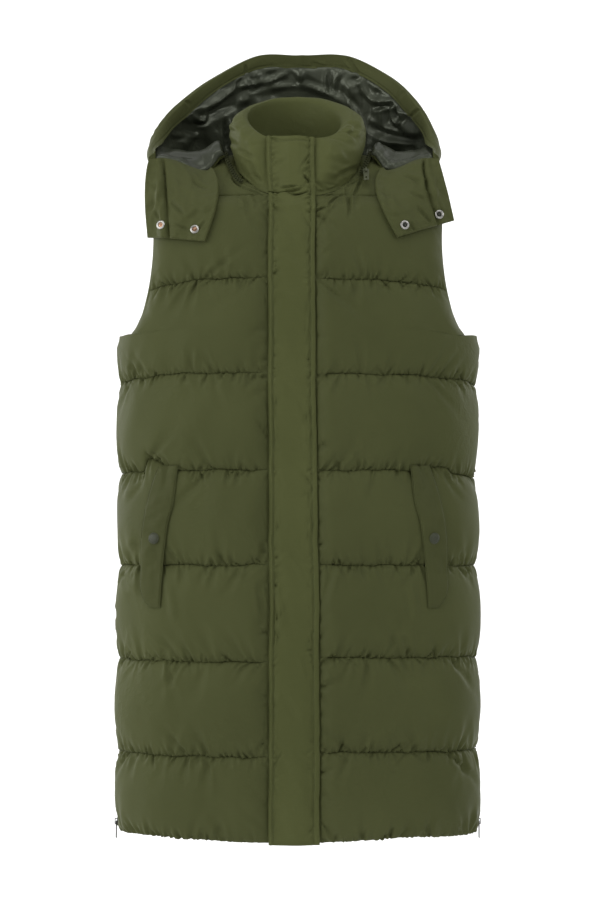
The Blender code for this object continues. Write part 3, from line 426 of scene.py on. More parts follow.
@cache
def scuff_group() -> NodeTree:
    """Wear on metal: fine scratches, and edges and high places rubbed clean."""
    wiring, inputs, outputs = new_group("scuffs", {"Scale": 900.0}, ("Wear", "Height"))
    grain = wiring.noise(wiring.add("TexCoord").outputs["Object"], inputs["Scale"], 3.0, 0.6).outputs[0]
    edges = wiring.fitted(wiring.add("NewGeometry").outputs["Pointiness"], 0.5, 0.6)
    wiring.join(wiring.math("MULTIPLY", edges, wiring.fitted(grain, 0.35, 0.6)), outputs["Wear"])
    wiring.join(grain, outputs["Height"])
    return wiring.tree


def new_material(name: str) -> tuple[Material, Wiring, bpy.types.NodeInputs]:
    """A material with a Principled shader.

    Args:
        name: the material's name.

    Returns:
        The material, the wiring of its tree, and the shader's inputs.
    """
    made = bpy.data.materials.new(name)
    made.use_nodes = True
    return made, Wiring(made.node_tree), made.node_tree.nodes["Principled BSDF"].inputs


@dataclass(frozen=True)
class ClothFinish:
    """A woven cloth: its colours, weave, sheen and small creases."""

    name: str
    colour: Colour
    shade: Colour
    roughness: tuple[float, float] = (0.50, 0.60)
    sheen: float = 0.05
    sheen_colour: Colour = (0.55, 0.6, 0.34)
    sheen_roughness: float = 0.45
    threads: float = 2600.0
    slub: float = 0.4
    weave_depth: float = 0.00005
    weave_strength: float = 0.35
    filter_width: float = 0.001
    crumple_scale: float = 45.0
    crumple_sharpness: float = 0.55
    crumple_depth: float = 0.004
    crumple_strength: float = 0.12
    specular: float = 0.12
    glint: Colour = (0.85, 0.93, 0.64)

    def material(self) -> Material:
        """Makes the material."""
        made, wiring, shader = new_material(self.name)
        weave = wiring.use(weave_group(), Threads=self.threads, Slub=self.slub)
        crumple = wiring.use(crumple_group(), Scale=self.crumple_scale, Sharpness=self.crumple_sharpness)
        tone = wiring.fitted(crumple["Tone"], 0.3, 0.7)
        share = wiring.math("ADD", tone, wiring.fitted(weave["Slubs"], 0.3, 0.7, -0.15, 0.15))
        colour = wiring.mixed(share, (*self.shade, 1.0), (*self.colour, 1.0))
        wiring.join(colour, shader["Base Color"])
        wiring.join(wiring.fitted(tone, 0.0, 1.0, *self.roughness), shader["Roughness"])
        shader["Specular IOR Level"].default_value = self.specular
        shader["Specular Tint"].default_value = (*self.glint, 1.0)
        shader["Sheen Weight"].default_value = self.sheen
        shader["Sheen Roughness"].default_value = self.sheen_roughness
        shader["Sheen Tint"].default_value = (*self.sheen_colour, 1.0)
        fine = wiring.add("Bump", self.weave_strength, self.weave_depth, self.filter_width, weave["Height"])
        depth = (self.crumple_strength, self.crumple_depth)
        soft = wiring.add("Bump", *depth, None, crumple["Height"], fine.outputs[0])
        wiring.join(soft.outputs[0], shader["Normal"])
        return made


@dataclass(frozen=True)
class MetalFinish:
    """A plated or painted metal with light wear."""

    name: str
    colour: Colour
    worn: Colour
    metallic: float = 1.0
    roughness: tuple[float, float] = (0.22, 0.36)
    scratches: float = 900.0
    scratch_depth: float = 0.0002
    scratch_strength: float = 0.08

    def material(self) -> Material:
        """Makes the material."""
        made, wiring, shader = new_material(self.name)
        scuffs = wiring.use(scuff_group(), Scale=self.scratches)
        colour = wiring.mixed(scuffs["Wear"], (*self.colour, 1.0), (*self.worn, 1.0))
        wiring.join(colour, shader["Base Color"])
        wiring.join(wiring.fitted(scuffs["Height"], 0.3, 0.7, *self.roughness), shader["Roughness"])
        shader["Metallic"].default_value = self.metallic
        bumped = wiring.add("Bump", self.scratch_strength, self.scratch_depth, None, scuffs["Height"])
        wiring.join(bumped.outputs[0], shader["Normal"])
        return made


class Finish(Enum):
    """Every finish of the vest."""

    SHELL = ClothFinish("shell_cloth", (0.080, 0.088, 0.034), (0.067, 0.074, 0.028))
    # The shell cloth made lighter for the collar and the placket: painted light.
    FLAT = ClothFinish("flat_cloth", (0.094, 0.104, 0.038), (0.078, 0.087, 0.031))
    LINING = ClothFinish(
        "lining_satin", (0.046, 0.052, 0.034), (0.028, 0.032, 0.022), roughness=(0.27, 0.36), sheen=0.0,
        weave_depth=0.00002, crumple_scale=60.0, crumple_strength=0.08, specular=0.62,
        glint=(0.86, 0.92, 0.74),
    )
    INSIDE = ClothFinish(
        "body_lining", (0.040, 0.046, 0.029), (0.030, 0.034, 0.022), sheen=0.0, specular=0.08
    )
    # The shell cloth made darker for the pocket welts: painted shade.
    WELT = ClothFinish("welt_cloth", (0.070, 0.077, 0.030), (0.059, 0.065, 0.025))
    TAPE = ClothFinish(
        "zip_tape", (0.048, 0.053, 0.024), (0.036, 0.040, 0.018), threads=1900.0, weave_depth=0.00015
    )
    THREAD = ClothFinish("thread", (0.075, 0.085, 0.040), (0.055, 0.062, 0.028), threads=4000.0)
    SILVER = MetalFinish("silver_snap", (0.40, 0.39, 0.36), (0.7, 0.7, 0.68))
    COPPER = MetalFinish("copper_snap", (0.36, 0.20, 0.13), (0.7, 0.45, 0.3))
    DARK = MetalFinish("dark_metal", (0.020, 0.022, 0.014), (0.06, 0.06, 0.045), 0.2, (0.44, 0.58))
    CAP = MetalFinish("painted_cap", (0.034, 0.040, 0.020), (0.07, 0.08, 0.04), 0.0, (0.48, 0.60))
    PULL = MetalFinish("painted_pull", (0.056, 0.064, 0.027), (0.10, 0.11, 0.06), 0.0, (0.45, 0.55))

    @cached_property
    def material(self) -> Material:
        """The finish's material, made when it is first used."""
        return self.value.material()


# Meshes


def in_scene(name: str, data: bpy.types.ID) -> Object:
    """Makes an object of this data and links it to the scene."""
    made = bpy.data.objects.new(name, data)
    bpy.context.scene.collection.objects.link(made)
    return made


def smooth_data(name: str, mesh: Shape, *materials: Material) -> MeshData:
    """Mesh data that is shaded smooth.

    Args:
        name: its name.
        mesh: the mesh, which is freed.
        *materials: the materials of its slots.

    Returns:
        The data.
    """
    data = bpy.data.meshes.new(name)
    mesh.to_mesh(data)
    mesh.free()
    for material in materials:
        data.materials.append(material)
    data.shade_smooth()
    return data


def finished(name: str, mesh: Shape, *finishes: Finish, sharp: float = 60.0, body: str = VEST) -> Object:
    """Makes a piece of a mesh, at the origin.

    Args:
        name: the piece's name.
        mesh: the mesh, which is freed.
        *finishes: the finishes of its slots.
        sharp: the angle in degrees from which an edge stays sharp.
        body: the body that it rides on.

    Returns:
        The piece's object.
    """
    bmesh.ops.recalc_face_normals(mesh, faces=mesh.faces)
    data = smooth_data(name, mesh, *(finish.material for finish in finishes))
    data.set_sharp_from_angle(angle=math.radians(sharp))
    made = in_scene(name, data)
    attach(made, body)
    return made


def enter(piece: Object, slot: Slot, node: str | None = None) -> Object:
    """Hides the frame's node that a piece replaces, if any, and gives the piece back."""
    if node:
        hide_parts(node)
    return piece


def set_uv(data: MeshData, places: Array) -> None:
    """Gives a mesh a UV map in metres over the cloth.

    Args:
        data: the mesh.
        places: each vertex's place on the cloth.
    """
    layer = data.uv_layers.new(name="cloth")
    corners = np.zeros(len(data.loops), np.int32)
    data.loops.foreach_get("vertex_index", corners)
    layer.uv.foreach_set("vector", places[corners].astype(np.float32).ravel())


@dataclass
class Wall:
    """A closed cloth wall: a fine outer grid, and a coarser one inside, joined at their edges."""

    name: str
    outer: Array
    inner: Array
    stride: int = 4

    def build(
        self, node: str, outside: Finish, inside: Finish | None = None, slot: Slot = Slot.SHELL
    ) -> Object:
        """Makes the wall.

        Args:
            node: the frame's node that it replaces.
            outside: the finish of the outer side.
            inside: the finish of the inner side, if it is another.
            slot: its material slot, which is not used.

        Returns:
            The wall's object.
        """
        rows = every(self.inner.shape[0], self.stride)
        columns = every(self.inner.shape[1], self.stride)
        mesh = bmesh.new()
        for side, grid in enumerate((self.outer, self.inner[np.ix_(rows, columns)])):
            made = bmesh.ops.create_grid(
                mesh, x_segments=grid.shape[1] - 1, y_segments=grid.shape[0] - 1, size=0.5
            )
            for vertex, point in zip(made["verts"], grid.reshape(-1, 3)):
                vertex.co = point
            if side:
                for face in {face for vertex in made["verts"] for face in vertex.link_faces}:
                    face.material_index = 1
        bmesh.ops.bridge_loops(mesh, edges=[edge for edge in mesh.edges if edge.is_boundary])
        piece = finished(self.name, mesh, outside, inside or outside)
        places = np.stack([lengths(self.outer, 1), lengths(self.outer, 0)], axis=-1)
        under = places[np.ix_(rows, columns)]
        set_uv(piece.data, np.concatenate([places.reshape(-1, 2), under.reshape(-1, 2)]))
        return enter(piece, slot, node)


def scattered(name: str, shape: Shape, places: Array, finish: Finish, slot: Slot) -> Object:
    """One joined mesh of many copies of a small shape.

    Args:
        name: the piece's name.
        shape: the small shape, which is freed.
        places: a 4 by 4 matrix for each copy.
        finish: the finish.
        slot: the material slot, which is not used.

    Returns:
        The object.
    """
    template = bpy.data.meshes.new("template")
    shape.to_mesh(template)
    points = np.array([(*vertex.co, 1.0) for vertex in shape.verts])
    shape.free()
    joined = bmesh.new()
    for _ in places:
        joined.from_mesh(template)
    bpy.data.meshes.remove(template)
    data = smooth_data(name, joined, finish.material)
    moved = np.einsum("nij,vj->nvi", places, points)[..., :3]
    data.vertices.foreach_set("co", moved.astype(np.float32).ravel())
    made = in_scene(name, data)
    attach(made, VEST)
    return enter(made, slot)


def frames_along(points: Array, normals: Array, pitch: float) -> Array:
    """Matrices evenly spaced along a line on a surface: X runs along it, and Z stands up from it.

    Args:
        points: the line's points.
        normals: the surface's normals there.
        pitch: the distance between two places.

    Returns:
        A 4 by 4 matrix for each place.
    """
    run = np.concatenate([[0], np.cumsum(np.linalg.norm(np.diff(points, axis=0), axis=1))])
    count = max(int(run[-1] / pitch), 1)
    at = (np.arange(count) + 0.5) * run[-1] / count
    step = run[-1] / count * 0.4
    forward = unit(columns_at(points, run, at + step) - columns_at(points, run, at - step))
    up = columns_at(normals, run, at)
    beside = unit(np.cross(up, forward))
    made = np.zeros((count, 4, 4))
    for k, column in enumerate((forward, beside, np.cross(forward, beside), columns_at(points, run, at))):
        made[:, :3, k] = column
    made[:, 3, 3] = 1
    return made


# Forms of cloth


@dataclass(frozen=True)
class Gathers:
    """Creases that run out from a sewn line, in metres and shares of the padding's height."""

    spacing: float
    reach: tuple[float, float]
    depth: tuple[float, float]
    width: tuple[float, float]
    spread: float = 0.12  # how much wider a crease grows along its length
    lean: tuple[float, float] = (0.0, 24.0)  # the mean and the spread of its angle, in degrees
    favour: float = 2.0  # how much more common short creases are than long ones
    tail: float = 2.2  # where a crease has faded out, in shares of its reach
    steepest: float = 52.0  # its largest angle, in degrees

    def creases(self, rng: np.random.Generator, along: Array, away: Array) -> Array:
        """The share of the padding's height that the creases take.

        Args:
            rng: the source of their places and sizes.
            along: each point's place along the line.
            away: each point's distance from it, under 0 on the other side.

        Returns:
            A share for each point, under 0 on the small ridges beside a crease.
        """
        taken = np.zeros(along.shape)
        place = along.min() + rng.uniform(0, self.spacing)
        while place < along.max():
            reach = self.reach[0] + (self.reach[1] - self.reach[0]) * rng.uniform() ** self.favour
            depth, width = rng.uniform(*self.depth), rng.uniform(*self.width)
            lean = math.tan(math.radians(np.clip(rng.normal(*self.lean), -self.steepest, self.steepest)))
            ridge = rng.choice((-1.6, 1.6))
            end = self.tail * reach
            margin = end * abs(lean) + 4 * (width + self.spread * end)
            near = (away > 0) & (away < end) & (np.abs(along - place) < margin)
            rows, columns = np.flatnonzero(near.any(axis=1)), np.flatnonzero(near.any(axis=0))
            if len(rows):
                part = np.s_[rows[0]:rows[-1] + 1, columns[0]:columns[-1] + 1]
                out = np.maximum(away[part], 0)
                across = (along[part] - place - out * lean) / (width + self.spread * out)
                fold = np.exp(-(across**2) / 2) - 0.65 * np.exp(-((across - ridge) ** 2))
                fold -= 0.25 * np.exp(-((across + 1.3 * ridge) ** 2))
                taken[part] += depth * fold * peak(out, reach) * (away[part] > 0)
            place += self.spacing * rng.uniform(0.3, 1.9)
        return taken


@dataclass(frozen=True)
class Crease:
    """A crease placed as it is seen from the front, in metres. A negative depth makes a ridge."""

    start: tuple[float, float]
    end: tuple[float, float]
    depth: float
    width: float
    bow: float = 0.0

    def height(self, x: Array, z: Array) -> Array:
        """How much it adds to the cloth's height at these places.

        Args:
            x: the places' distances to the wearer's left.
            z: the places' heights.

        Returns:
            A height for each place: under 0 in the crease, and a little over 0 beside it.
        """
        run_x, run_z = self.end[0] - self.start[0], self.end[1] - self.start[1]
        length = math.hypot(run_x, run_z)
        along = ((x - self.start[0]) * run_x + (z - self.start[1]) * run_z) / length**2
        across = ((x - self.start[0]) * run_z - (z - self.start[1]) * run_x) / length
        inside = np.clip(along, 0, 1)
        off = (across - self.bow * 4 * inside * (1 - inside)) / self.width
        ends = peak((along - inside) * length, self.width) * (0.35 + 0.65 * bump(inside, 0.6))
        fold = np.exp(-(off**2) / 2) - 0.5 * np.exp(-((off - 1.7) ** 2)) - 0.3 * np.exp(-((off + 1.9) ** 2))
        return -self.depth * fold * ends


def creased(creases: Sequence[Crease], points: Array) -> Array:
    """How much creases add to the height of cloth.

    Args:
        creases: the creases.
        points: the cloth's points.

    Returns:
        The height that they add at each point.
    """
    total = np.zeros(points.shape[:-1])
    for crease in creases:
        total += crease.height(points[..., 0], points[..., 2])
    return total


PUCKERS = Gathers(
    0.0072, (0.0035, 0.012), (0.25, 0.90), (0.0008, 0.0017), spread=0.10, lean=(16.0, 34.0), favour=1.4
)
GATHERS = Gathers(0.017, (0.010, 0.036), (0.12, 0.52), (0.0014, 0.0030), spread=0.10, lean=(10.0, 22.0))
FOLDS = Gathers(0.060, (0.025, 0.060), (0.05, 0.15), (0.005, 0.010), spread=0.2, lean=(10.0, 30.0))


@dataclass(frozen=True)
class BodyForm:
    """The body's inner form, its armholes, neck and quilting."""

    roundness: float = 2.3
    hem: float = -0.878
    first_seam: float = -0.173
    pitch: float = 0.119
    yoke_seam: float = -0.080
    underarm: float = -0.236
    neck_half_width: float = 0.080
    neck_half_depth: float = 0.082
    neck_front_z: float = -0.066
    neck_back_z: float = 0.005
    shoulder: tuple[float, float, float] = (0.192, 0.0, -0.035)
    shoulder_share: float = 0.40
    centre_x: float = -0.004
    zip_width: float = 0.011
    body_loft: float = 0.0114
    chest_loft: float = 0.0095
    puff: float = 0.46  # how full the padding's shoulders are: 0 is square
    yoke_loft: float = 0.004
    yoke_rise: float = 0.012  # how fast its padding rises over the seam
    front_fullness: tuple[float, float, float] = (0.15, 0.05, 0.60)
    back_fullness: tuple[float, float, float] = (0.10, 0.15, 0.60)
    front_yoke_line: float = -0.0645  # the seam across the top of each front
    channel_steps: int = 30
    yoke_steps: int = 56
    sections: Table = Table(
        "z half_width front_depth back_depth",
        (-0.878, 0.2235, 0.121, 0.113),
        (-0.768, 0.2240, 0.121, 0.112),
        (-0.650, 0.2240, 0.120, 0.110),
        (-0.530, 0.2235, 0.117, 0.107),
        (-0.411, 0.2225, 0.114, 0.105),
        (-0.292, 0.2240, 0.117, 0.107),
        (-0.173, 0.2235, 0.112, 0.111),
        (-0.080, 0.2235, 0.100, 0.106),
    )
    armhole: Table = Table(
        "z front_x back_x",
        (-0.236, 0.2235, 0.2235),
        (-0.232, 0.2175, 0.2190),
        (-0.225, 0.2095, 0.2115),
        (-0.209, 0.2000, 0.2025),
        (-0.180, 0.1905, 0.1935),
        (-0.150, 0.1850, 0.1900),
        (-0.119, 0.1825, 0.1885),
        (-0.080, 0.1835, 0.1900),
    )
    placket: Table = Table(
        "z right_x left_x",
        (-0.878, -0.0360, 0.0275),
        (-0.560, -0.0358, 0.0258),
        (-0.300, -0.0365, 0.0228),
        (-0.090, -0.0375, 0.0215),
    )
    sags: tuple[float, ...] = (-0.004, -0.001, 0.000, 0.001, 0.002, 0.009, 0.010, 0.003)

    @property
    def placket_x(self) -> tuple[float, float]:
        """The placket's edges at the neck."""
        return tuple(float(column[-1]) for column in self.placket.columns.values())

    @property
    def seams(self) -> Array:
        """The heights of the hem, the quilting seams and the yoke seam."""
        quilted = [self.first_seam - k * self.pitch for k in range(5, -1, -1)]
        return np.array([self.hem, *quilted, self.yoke_seam])

    def levels(self) -> Array:
        """The heights of the rows of points, closest together at the seams."""
        seams = self.seams
        shares = spread_shares(self.channel_steps, 0.9)[:-1]
        rows = [low + shares * (high - low) for low, high in zip(seams, seams[1:])]
        return np.append(np.concatenate(rows), self.yoke_seam)

    def sizes(self, z: Array) -> tuple[Array, Array, Array]:
        """Half width, front depth and back depth at these heights."""
        names = ("half_width", "front_depth", "back_depth")
        return tuple(self.sections.at(name, z) for name in names)

    def angle(self, x: Array | float, half_width: Array) -> Array:
        """The angle round a section, 0 in the middle, where it is x from the middle."""
        return np.arcsin(np.minimum(1.0, np.abs(x) / half_width) ** (self.roundness / 2))

    def point(self, angle: Array, z: Array, front: bool) -> Array:
        """Points of the inner form.

        Args:
            angle: where round the section they lie, 0 in the middle and under 0 on the wearer's right.
            z: their heights.
            front: whether they lie on the front.

        Returns:
            The points.
        """
        half_width, front_depth, back_depth = self.sizes(z)
        x = half_width * np.abs(np.sin(angle)) ** (2 / self.roundness) * np.where(angle >= 0, 1, -1)
        reach = np.maximum(np.cos(angle), 0) ** (2 / self.roundness)
        return np.stack([x, reach * (-front_depth if front else back_depth), z], axis=-1)

    def neck(self, angle: Array, back: bool) -> Array:
        """Points of the neck seam.

        Args:
            angle: where round it they lie, 0 in the middle and 90 degrees at the wearer's left.
            back: whether they lie on the back.

        Returns:
            The points.
        """
        reach = np.maximum(np.cos(angle), 0)
        y = NECK_MIDDLE_Y + self.neck_half_depth * reach * (1 if back else -1)
        z = self.neck_back_z * reach if back else self.neck_front_z * reach**0.85
        return np.stack([self.neck_half_width * np.sin(angle), y, z], axis=-1)

    def shoulder_seam(self, share: Array, side: Array | float) -> Array:
        """Points of the shoulder seam.

        Args:
            share: how far along it they lie, 0 at the neck and 1 at the armhole.
            side: -1 on the wearer's right, or 1 on the left.

        Returns:
            The points.
        """
        x = self.neck_half_width + (self.shoulder[0] - self.neck_half_width) * share
        y = NECK_MIDDLE_Y + (self.shoulder[1] - NECK_MIDDLE_Y) * share
        return np.stack([side * x, y, self.shoulder[2] * share**1.15], axis=-1)

    def sag(self, z: Array) -> Array:
        """How far the seams sag at the side."""
        return smooth(self.seams, np.array(self.sags), z)

    def loft(self, level: Array, seams: Array) -> tuple[Array, Array]:
        """How high the padding stands.

        Args:
            level: heights between the seams, or over them on the yoke.
            seams: the seams' heights, from the hem up.

        Returns:
            The padding's height, and the distance up from the seam below.
        """
        k = np.clip(np.searchsorted(seams, level), 1, len(seams) - 1)
        tall = np.where(k == len(seams) - 1, self.chest_loft, self.body_loft)
        low, high = seams[k - 1], seams[k]
        body = tall * bump((level - low) / (high - low), self.puff)
        yoke = self.yoke_loft * edge_fade(level - seams[-1], self.yoke_rise)
        over = level > seams[-1]
        return np.where(over, yoke, body), level - np.where(over, seams[-1], low)


@dataclass(frozen=True)
class Nudge:
    """A place where a panel's seam is pushed up, and how far that reaches to each side and upwards."""

    x: float
    z: float
    lift: float
    inwards: float
    outwards: float
    tall: float = 0.024


@dataclass
class BodyPanel:
    """A quilted panel: a front, or the back."""

    name: str
    form: BodyForm
    side: Side | None
    seed: int
    creases: Sequence[Crease] = ()
    nudges: Sequence[Nudge] = ()
    shifts: Sequence[float] = (0.0,) * 8  # how much higher each seam is at the placket, from the hem up
    sag: float = 0.07  # how far the padding hangs down, in shares of its height
    overhang: float = 0.60  # how much farther it hangs just over a seam
    overhang_reach: float = 0.008
    yoke_groove: tuple[float, float] = (0.0022, 0.0014)  # depth and width
    edge_pull: float = 0.0040  # how deep the creases beside the placket cut into a front
    edge_width: float = 0.035  # how fast the padding rises beside the first sewn edge
    side_width: float = 0.035
    top_width: float = 0.016
    deepest: float = -0.0015  # the lowest that a crease lies
    corner: float = 0.009  # the radius of the corner under the arm
    edging: Gathers = Gathers(0.013, (0.004, 0.022), (0.10, 0.60), (0.0012, 0.0026), lean=(0.0, 40.0))
    under_placket: tuple[float, ...] = (0.0, 0.33, 0.66)  # columns between the zip and the placket's edge
    inner: Array = field(init=False)
    outer: Array = field(init=False)
    normals: Array = field(init=False)
    level: Array = field(init=False)
    neck_columns: Array = field(init=False)
    seam_columns: tuple[int, int] = field(init=False)

    def columns(self) -> Array:
        """The columns' shares from the middle to the side, at the neck and then at the arm."""
        half = self.form.shoulder_share
        neck_steps, arm_steps = (58, 96) if self.side is None else (127, 188)
        arm = half + spread_shares(arm_steps, 0.35)[1:] * (1 - half)
        shares = np.concatenate([np.linspace(0, half, neck_steps + 1), arm])
        return np.concatenate([-shares[:0:-1], shares]) if self.side is None else shares

    def lay_front(self, levels: Array, shares: Array, end: Array, sunk: Array) -> tuple[Array, Array, Array]:
        """Lays out a front up to the yoke seam.

        Args:
            levels: the heights of the rows.
            shares: the columns' shares of the way from the placket to the side.
            end: the angle of each row's last point.
            sunk: the points' heights.

        Returns:
            The grid, the row at the neck and shoulder seams, and how full the yoke is at each column.
        """
        form, sign, half = self.form, self.side.value, self.form.shoulder_share
        gap = -SEAM_GAP / 2
        half_width = form.sizes(levels)[0]
        placket = form.placket.at(self.side.word + "_x", levels)
        start = form.angle(placket, half_width)[:, None]
        grid = form.point(sign * (start + (end - start) * shares[None, :]), sunk, True)
        edge_x = form.centre_x + sign * form.zip_width / 2
        zip_edge = form.point(np.sign(edge_x) * form.angle(edge_x, half_width), levels, True)
        zip_edge[:, 0] = edge_x
        strip = [zip_edge + (grid[:, 0] - zip_edge) * share for share in self.under_placket]
        grid = np.concatenate([np.stack(strip, axis=1), grid], axis=1)
        grid[levels <= form.underarm, -1, 1] = gap
        start_angle = math.asin(abs(placket[-1]) / form.neck_half_width)
        neck_shares = shares[shares <= half] / half
        neck = form.neck(sign * (start_angle + (math.pi / 2 - start_angle) * neck_shares), False)
        first = form.neck(np.array(math.asin(edge_x / form.neck_half_width)), False)
        neck = np.concatenate([[first + (neck[0] - first) * share for share in self.under_placket], neck])
        arm = form.shoulder_seam((shares[shares > half] - half) / (1 - half), sign)
        arm[:, 1] += gap
        neck[-1, 1] += gap
        top = np.concatenate([neck, arm])
        self.neck_columns = np.arange(len(neck))
        self.seam_columns = (len(self.under_placket), len(top) - 1)
        ends = (0, len(neck) - 1, len(top) - 1)
        return grid, top, np.interp(np.arange(len(top)), ends, form.front_fullness)

    def lay_back(self, levels: Array, shares: Array, end: Array, sunk: Array) -> tuple[Array, Array, Array]:
        """Lays out the back up to the yoke seam.

        Args:
            levels: the heights of the rows.
            shares: the columns' shares of the way from the middle to a side, under 0 on the wearer's right.
            end: the angle of each row's last point.
            sunk: the points' heights.

        Returns:
            The grid, the row at the neck and shoulder seams, and how full the yoke is at each column.
        """
        form, half, gap = self.form, self.form.shoulder_share, SEAM_GAP / 2
        grid = form.point(end * shares[None, :], sunk, False)
        below = levels <= form.underarm
        grid[below, 0, 1] = gap
        grid[below, -1, 1] = gap
        on_neck = np.abs(shares) <= half
        top = np.zeros((len(shares), 3))
        top[on_neck] = form.neck(shares[on_neck] / half * math.pi / 2, True)
        arm_shares = (np.abs(shares[~on_neck]) - half) / (1 - half)
        top[~on_neck] = form.shoulder_seam(arm_shares, np.sign(shares[~on_neck]))
        top[np.abs(shares) >= half, 1] += gap
        self.neck_columns = np.flatnonzero(on_neck)
        self.seam_columns = (0, len(top) - 1)
        return grid, top, np.interp(np.abs(shares), (0, half, 1), form.back_fullness)

    def lay_out(self) -> None:
        """Works out the inner points, from the hem up to the neck and shoulder seams."""
        form, levels, shares = self.form, self.form.levels(), self.columns()
        front = self.side is not None
        half_width = form.sizes(levels)[0]
        edge = form.armhole.at("front_x" if front else "back_x", levels)
        end = form.angle(np.where(levels > form.underarm, edge, half_width), half_width)[:, None]
        sunk = levels[:, None] - form.sag(levels)[:, None] * np.abs(shares[None, :]) ** 3
        lay = self.lay_front if front else self.lay_back
        grid, top, fullness = lay(levels, shares, end, sunk)
        yoke = grid[-1]
        corner = np.stack([top[:, 0], yoke[:, 1], top[:, 2]], axis=1)
        middle = (yoke + top) / 2
        control = middle + fullness[:, None] * (corner - middle)
        way = np.linspace(0, 1, form.yoke_steps + 1)[1:, None, None]
        curve = (1 - way) ** 2 * yoke + 2 * way * (1 - way) * control + way**2 * top
        self.inner = np.concatenate([grid, curve])
        self.level = np.concatenate([np.repeat(levels[:, None], len(top), axis=1), curve[..., 2]])
        self.level[len(levels):] += form.yoke_seam - grid[-1, :, 2]
        across = np.linspace(0, 1, len(top))[None, :] if front else np.abs(shares)[None, :]
        self.inner[..., 2] += smooth(form.seams, np.array(self.shifts), self.level) * (1 - across**2)
        for nudge in self.nudges:
            off = np.abs(self.inner[..., 0]) - nudge.x
            off /= np.where(off > 0, nudge.outwards, nudge.inwards)
            self.inner[..., 2] += nudge.lift * np.exp(-(off**2) - ((self.level - nudge.z) / nudge.tall) ** 2)

    def face_out(self) -> None:
        """Works out the directions of the wall's thickness, square to the neighbours at the seams."""
        sign = -1 if self.side is None else self.side.value
        normals = grid_normals(self.inner) * sign
        below = np.flatnonzero(self.level[:, 0] <= self.form.underarm)
        for column in [0, -1] if self.side is None else [-1]:
            normals[below, column] = (math.copysign(1.0, self.inner[0, column, 0]), 0, 0)
        top = np.setdiff1d(np.arange(self.inner.shape[1]), self.neck_columns)
        normals[-1, top, 1] = 0
        neck = self.inner[-1, self.neck_columns] - (0, NECK_MIDDLE_Y, 0)
        normals[-1, self.neck_columns] = neck * (1, 1, 0)
        normals[-1] = unit(normals[-1])
        self.normals = normals

    def pad(self) -> None:
        """Works out the outer points: the padding, its gathers at the seams, and its soft folds."""
        form, level = self.form, self.level
        front = self.side is not None
        rng = np.random.default_rng(self.seed)
        run, _, up, down = from_edges(self.inner)
        first, last = self.seam_columns
        from_first, to_last = run - run[:, [first]], run[:, [last]] - run
        fade = edge_fade(np.abs(from_first), self.edge_width) * edge_fade(np.abs(to_last), self.side_width)
        seams = form.seams.copy()
        if front:
            seams[-1] = form.front_yoke_line
        loft, over_seam = form.loft(level, seams)
        loft *= fade * edge_fade(down + 0.0004, self.top_width)
        taken = np.zeros(run.shape)
        for seam in seams:
            plain = front and seam == seams[-1]
            for family in (FOLDS,) if plain else (PUCKERS, GATHERS, FOLDS):
                for way in (1, -1):
                    taken += family.creases(rng, run, (level - seam) * way)
        pulled = self.edging.creases(rng, level, from_first)
        taken += pulled + self.edging.creases(rng, level, to_last)
        neck = np.where(np.isin(np.arange(run.shape[1]), self.neck_columns), down, -1.0)
        taken += GATHERS.creases(rng, run, neck) + PUCKERS.creases(rng, run, neck)
        uneven = 0.10 * ripple(rng, run, level * 0.7, 0.11) + 0.04 * ripple(rng, run, level * 0.5, 0.045)
        loft *= np.clip(1 - taken + uneven, 0.10, 1.4)
        loft += creased(self.creases, self.inner) * (self.inner[..., 1] < 0)
        if front:
            depth, width = self.yoke_groove
            loft -= self.edge_pull * pulled + depth * peak(level - seams[-1], width) * fade
            loft[:, :first] = 0
        loft = np.maximum(loft, self.deepest)
        wander = 0.0009 * ripple(rng, run, level * 0.2, 0.035) * (level > form.hem + 0.01)
        self.outer = self.inner + self.normals * (SEAM_THICKNESS + loft)[..., None]
        uneven = np.clip(1 + 0.5 * ripple(rng, run, level * 0.3, 0.04), 0.2, 1.6)
        hang = self.sag + self.overhang * uneven * np.exp(-over_seam / self.overhang_reach)
        self.outer[..., 2] -= np.maximum(loft, 0) * hang * (level < seams[-1] + 0.02)
        self.outer[..., 2] += wander * fade * (level < form.yoke_seam)
        self.round_corner()

    def round_corner(self) -> None:
        """Rounds the corner between the side seam and the armhole."""
        down = self.form.underarm - self.level
        left = self.corner - np.clip(down, 0, self.corner)
        inset = self.corner - np.sqrt(self.corner**2 - left**2)
        for grid in (self.inner, self.outer):
            limit = np.abs(grid[..., 0]).max(axis=1, keepdims=True) - inset
            tucked = np.copysign(np.minimum(np.abs(grid[..., 0]), limit), grid[..., 0])
            grid[..., 0] = np.where((down > 0) & (down < self.corner), tucked, grid[..., 0])

    def line_at(self, level: float) -> tuple[Array, Array]:
        """A level line over the outside, from the panel's first sewn edge to its last.

        Args:
            level: the line's height.

        Returns:
            Its points, and the directions of the wall's thickness there.
        """
        points, normals = [], []
        for column in range(self.seam_columns[0], self.seam_columns[1] + 1):
            heights = self.level[:, column]
            if heights[-1] > level:
                k = int(np.searchsorted(heights, level))
                share = (level - heights[k - 1]) / (heights[k] - heights[k - 1])
                points.append(self.outer[k - 1, column] * (1 - share) + self.outer[k, column] * share)
                normals.append(self.normals[k, column])
        return np.array(points), np.array(normals)

    def build(self) -> Object:
        """Makes the panel."""
        self.lay_out()
        self.face_out()
        self.pad()
        wall = Wall(self.name + "_quilted", self.outer, self.inner)
        piece = wall.build(self.name, Finish.SHELL, Finish.INSIDE)
        return piece


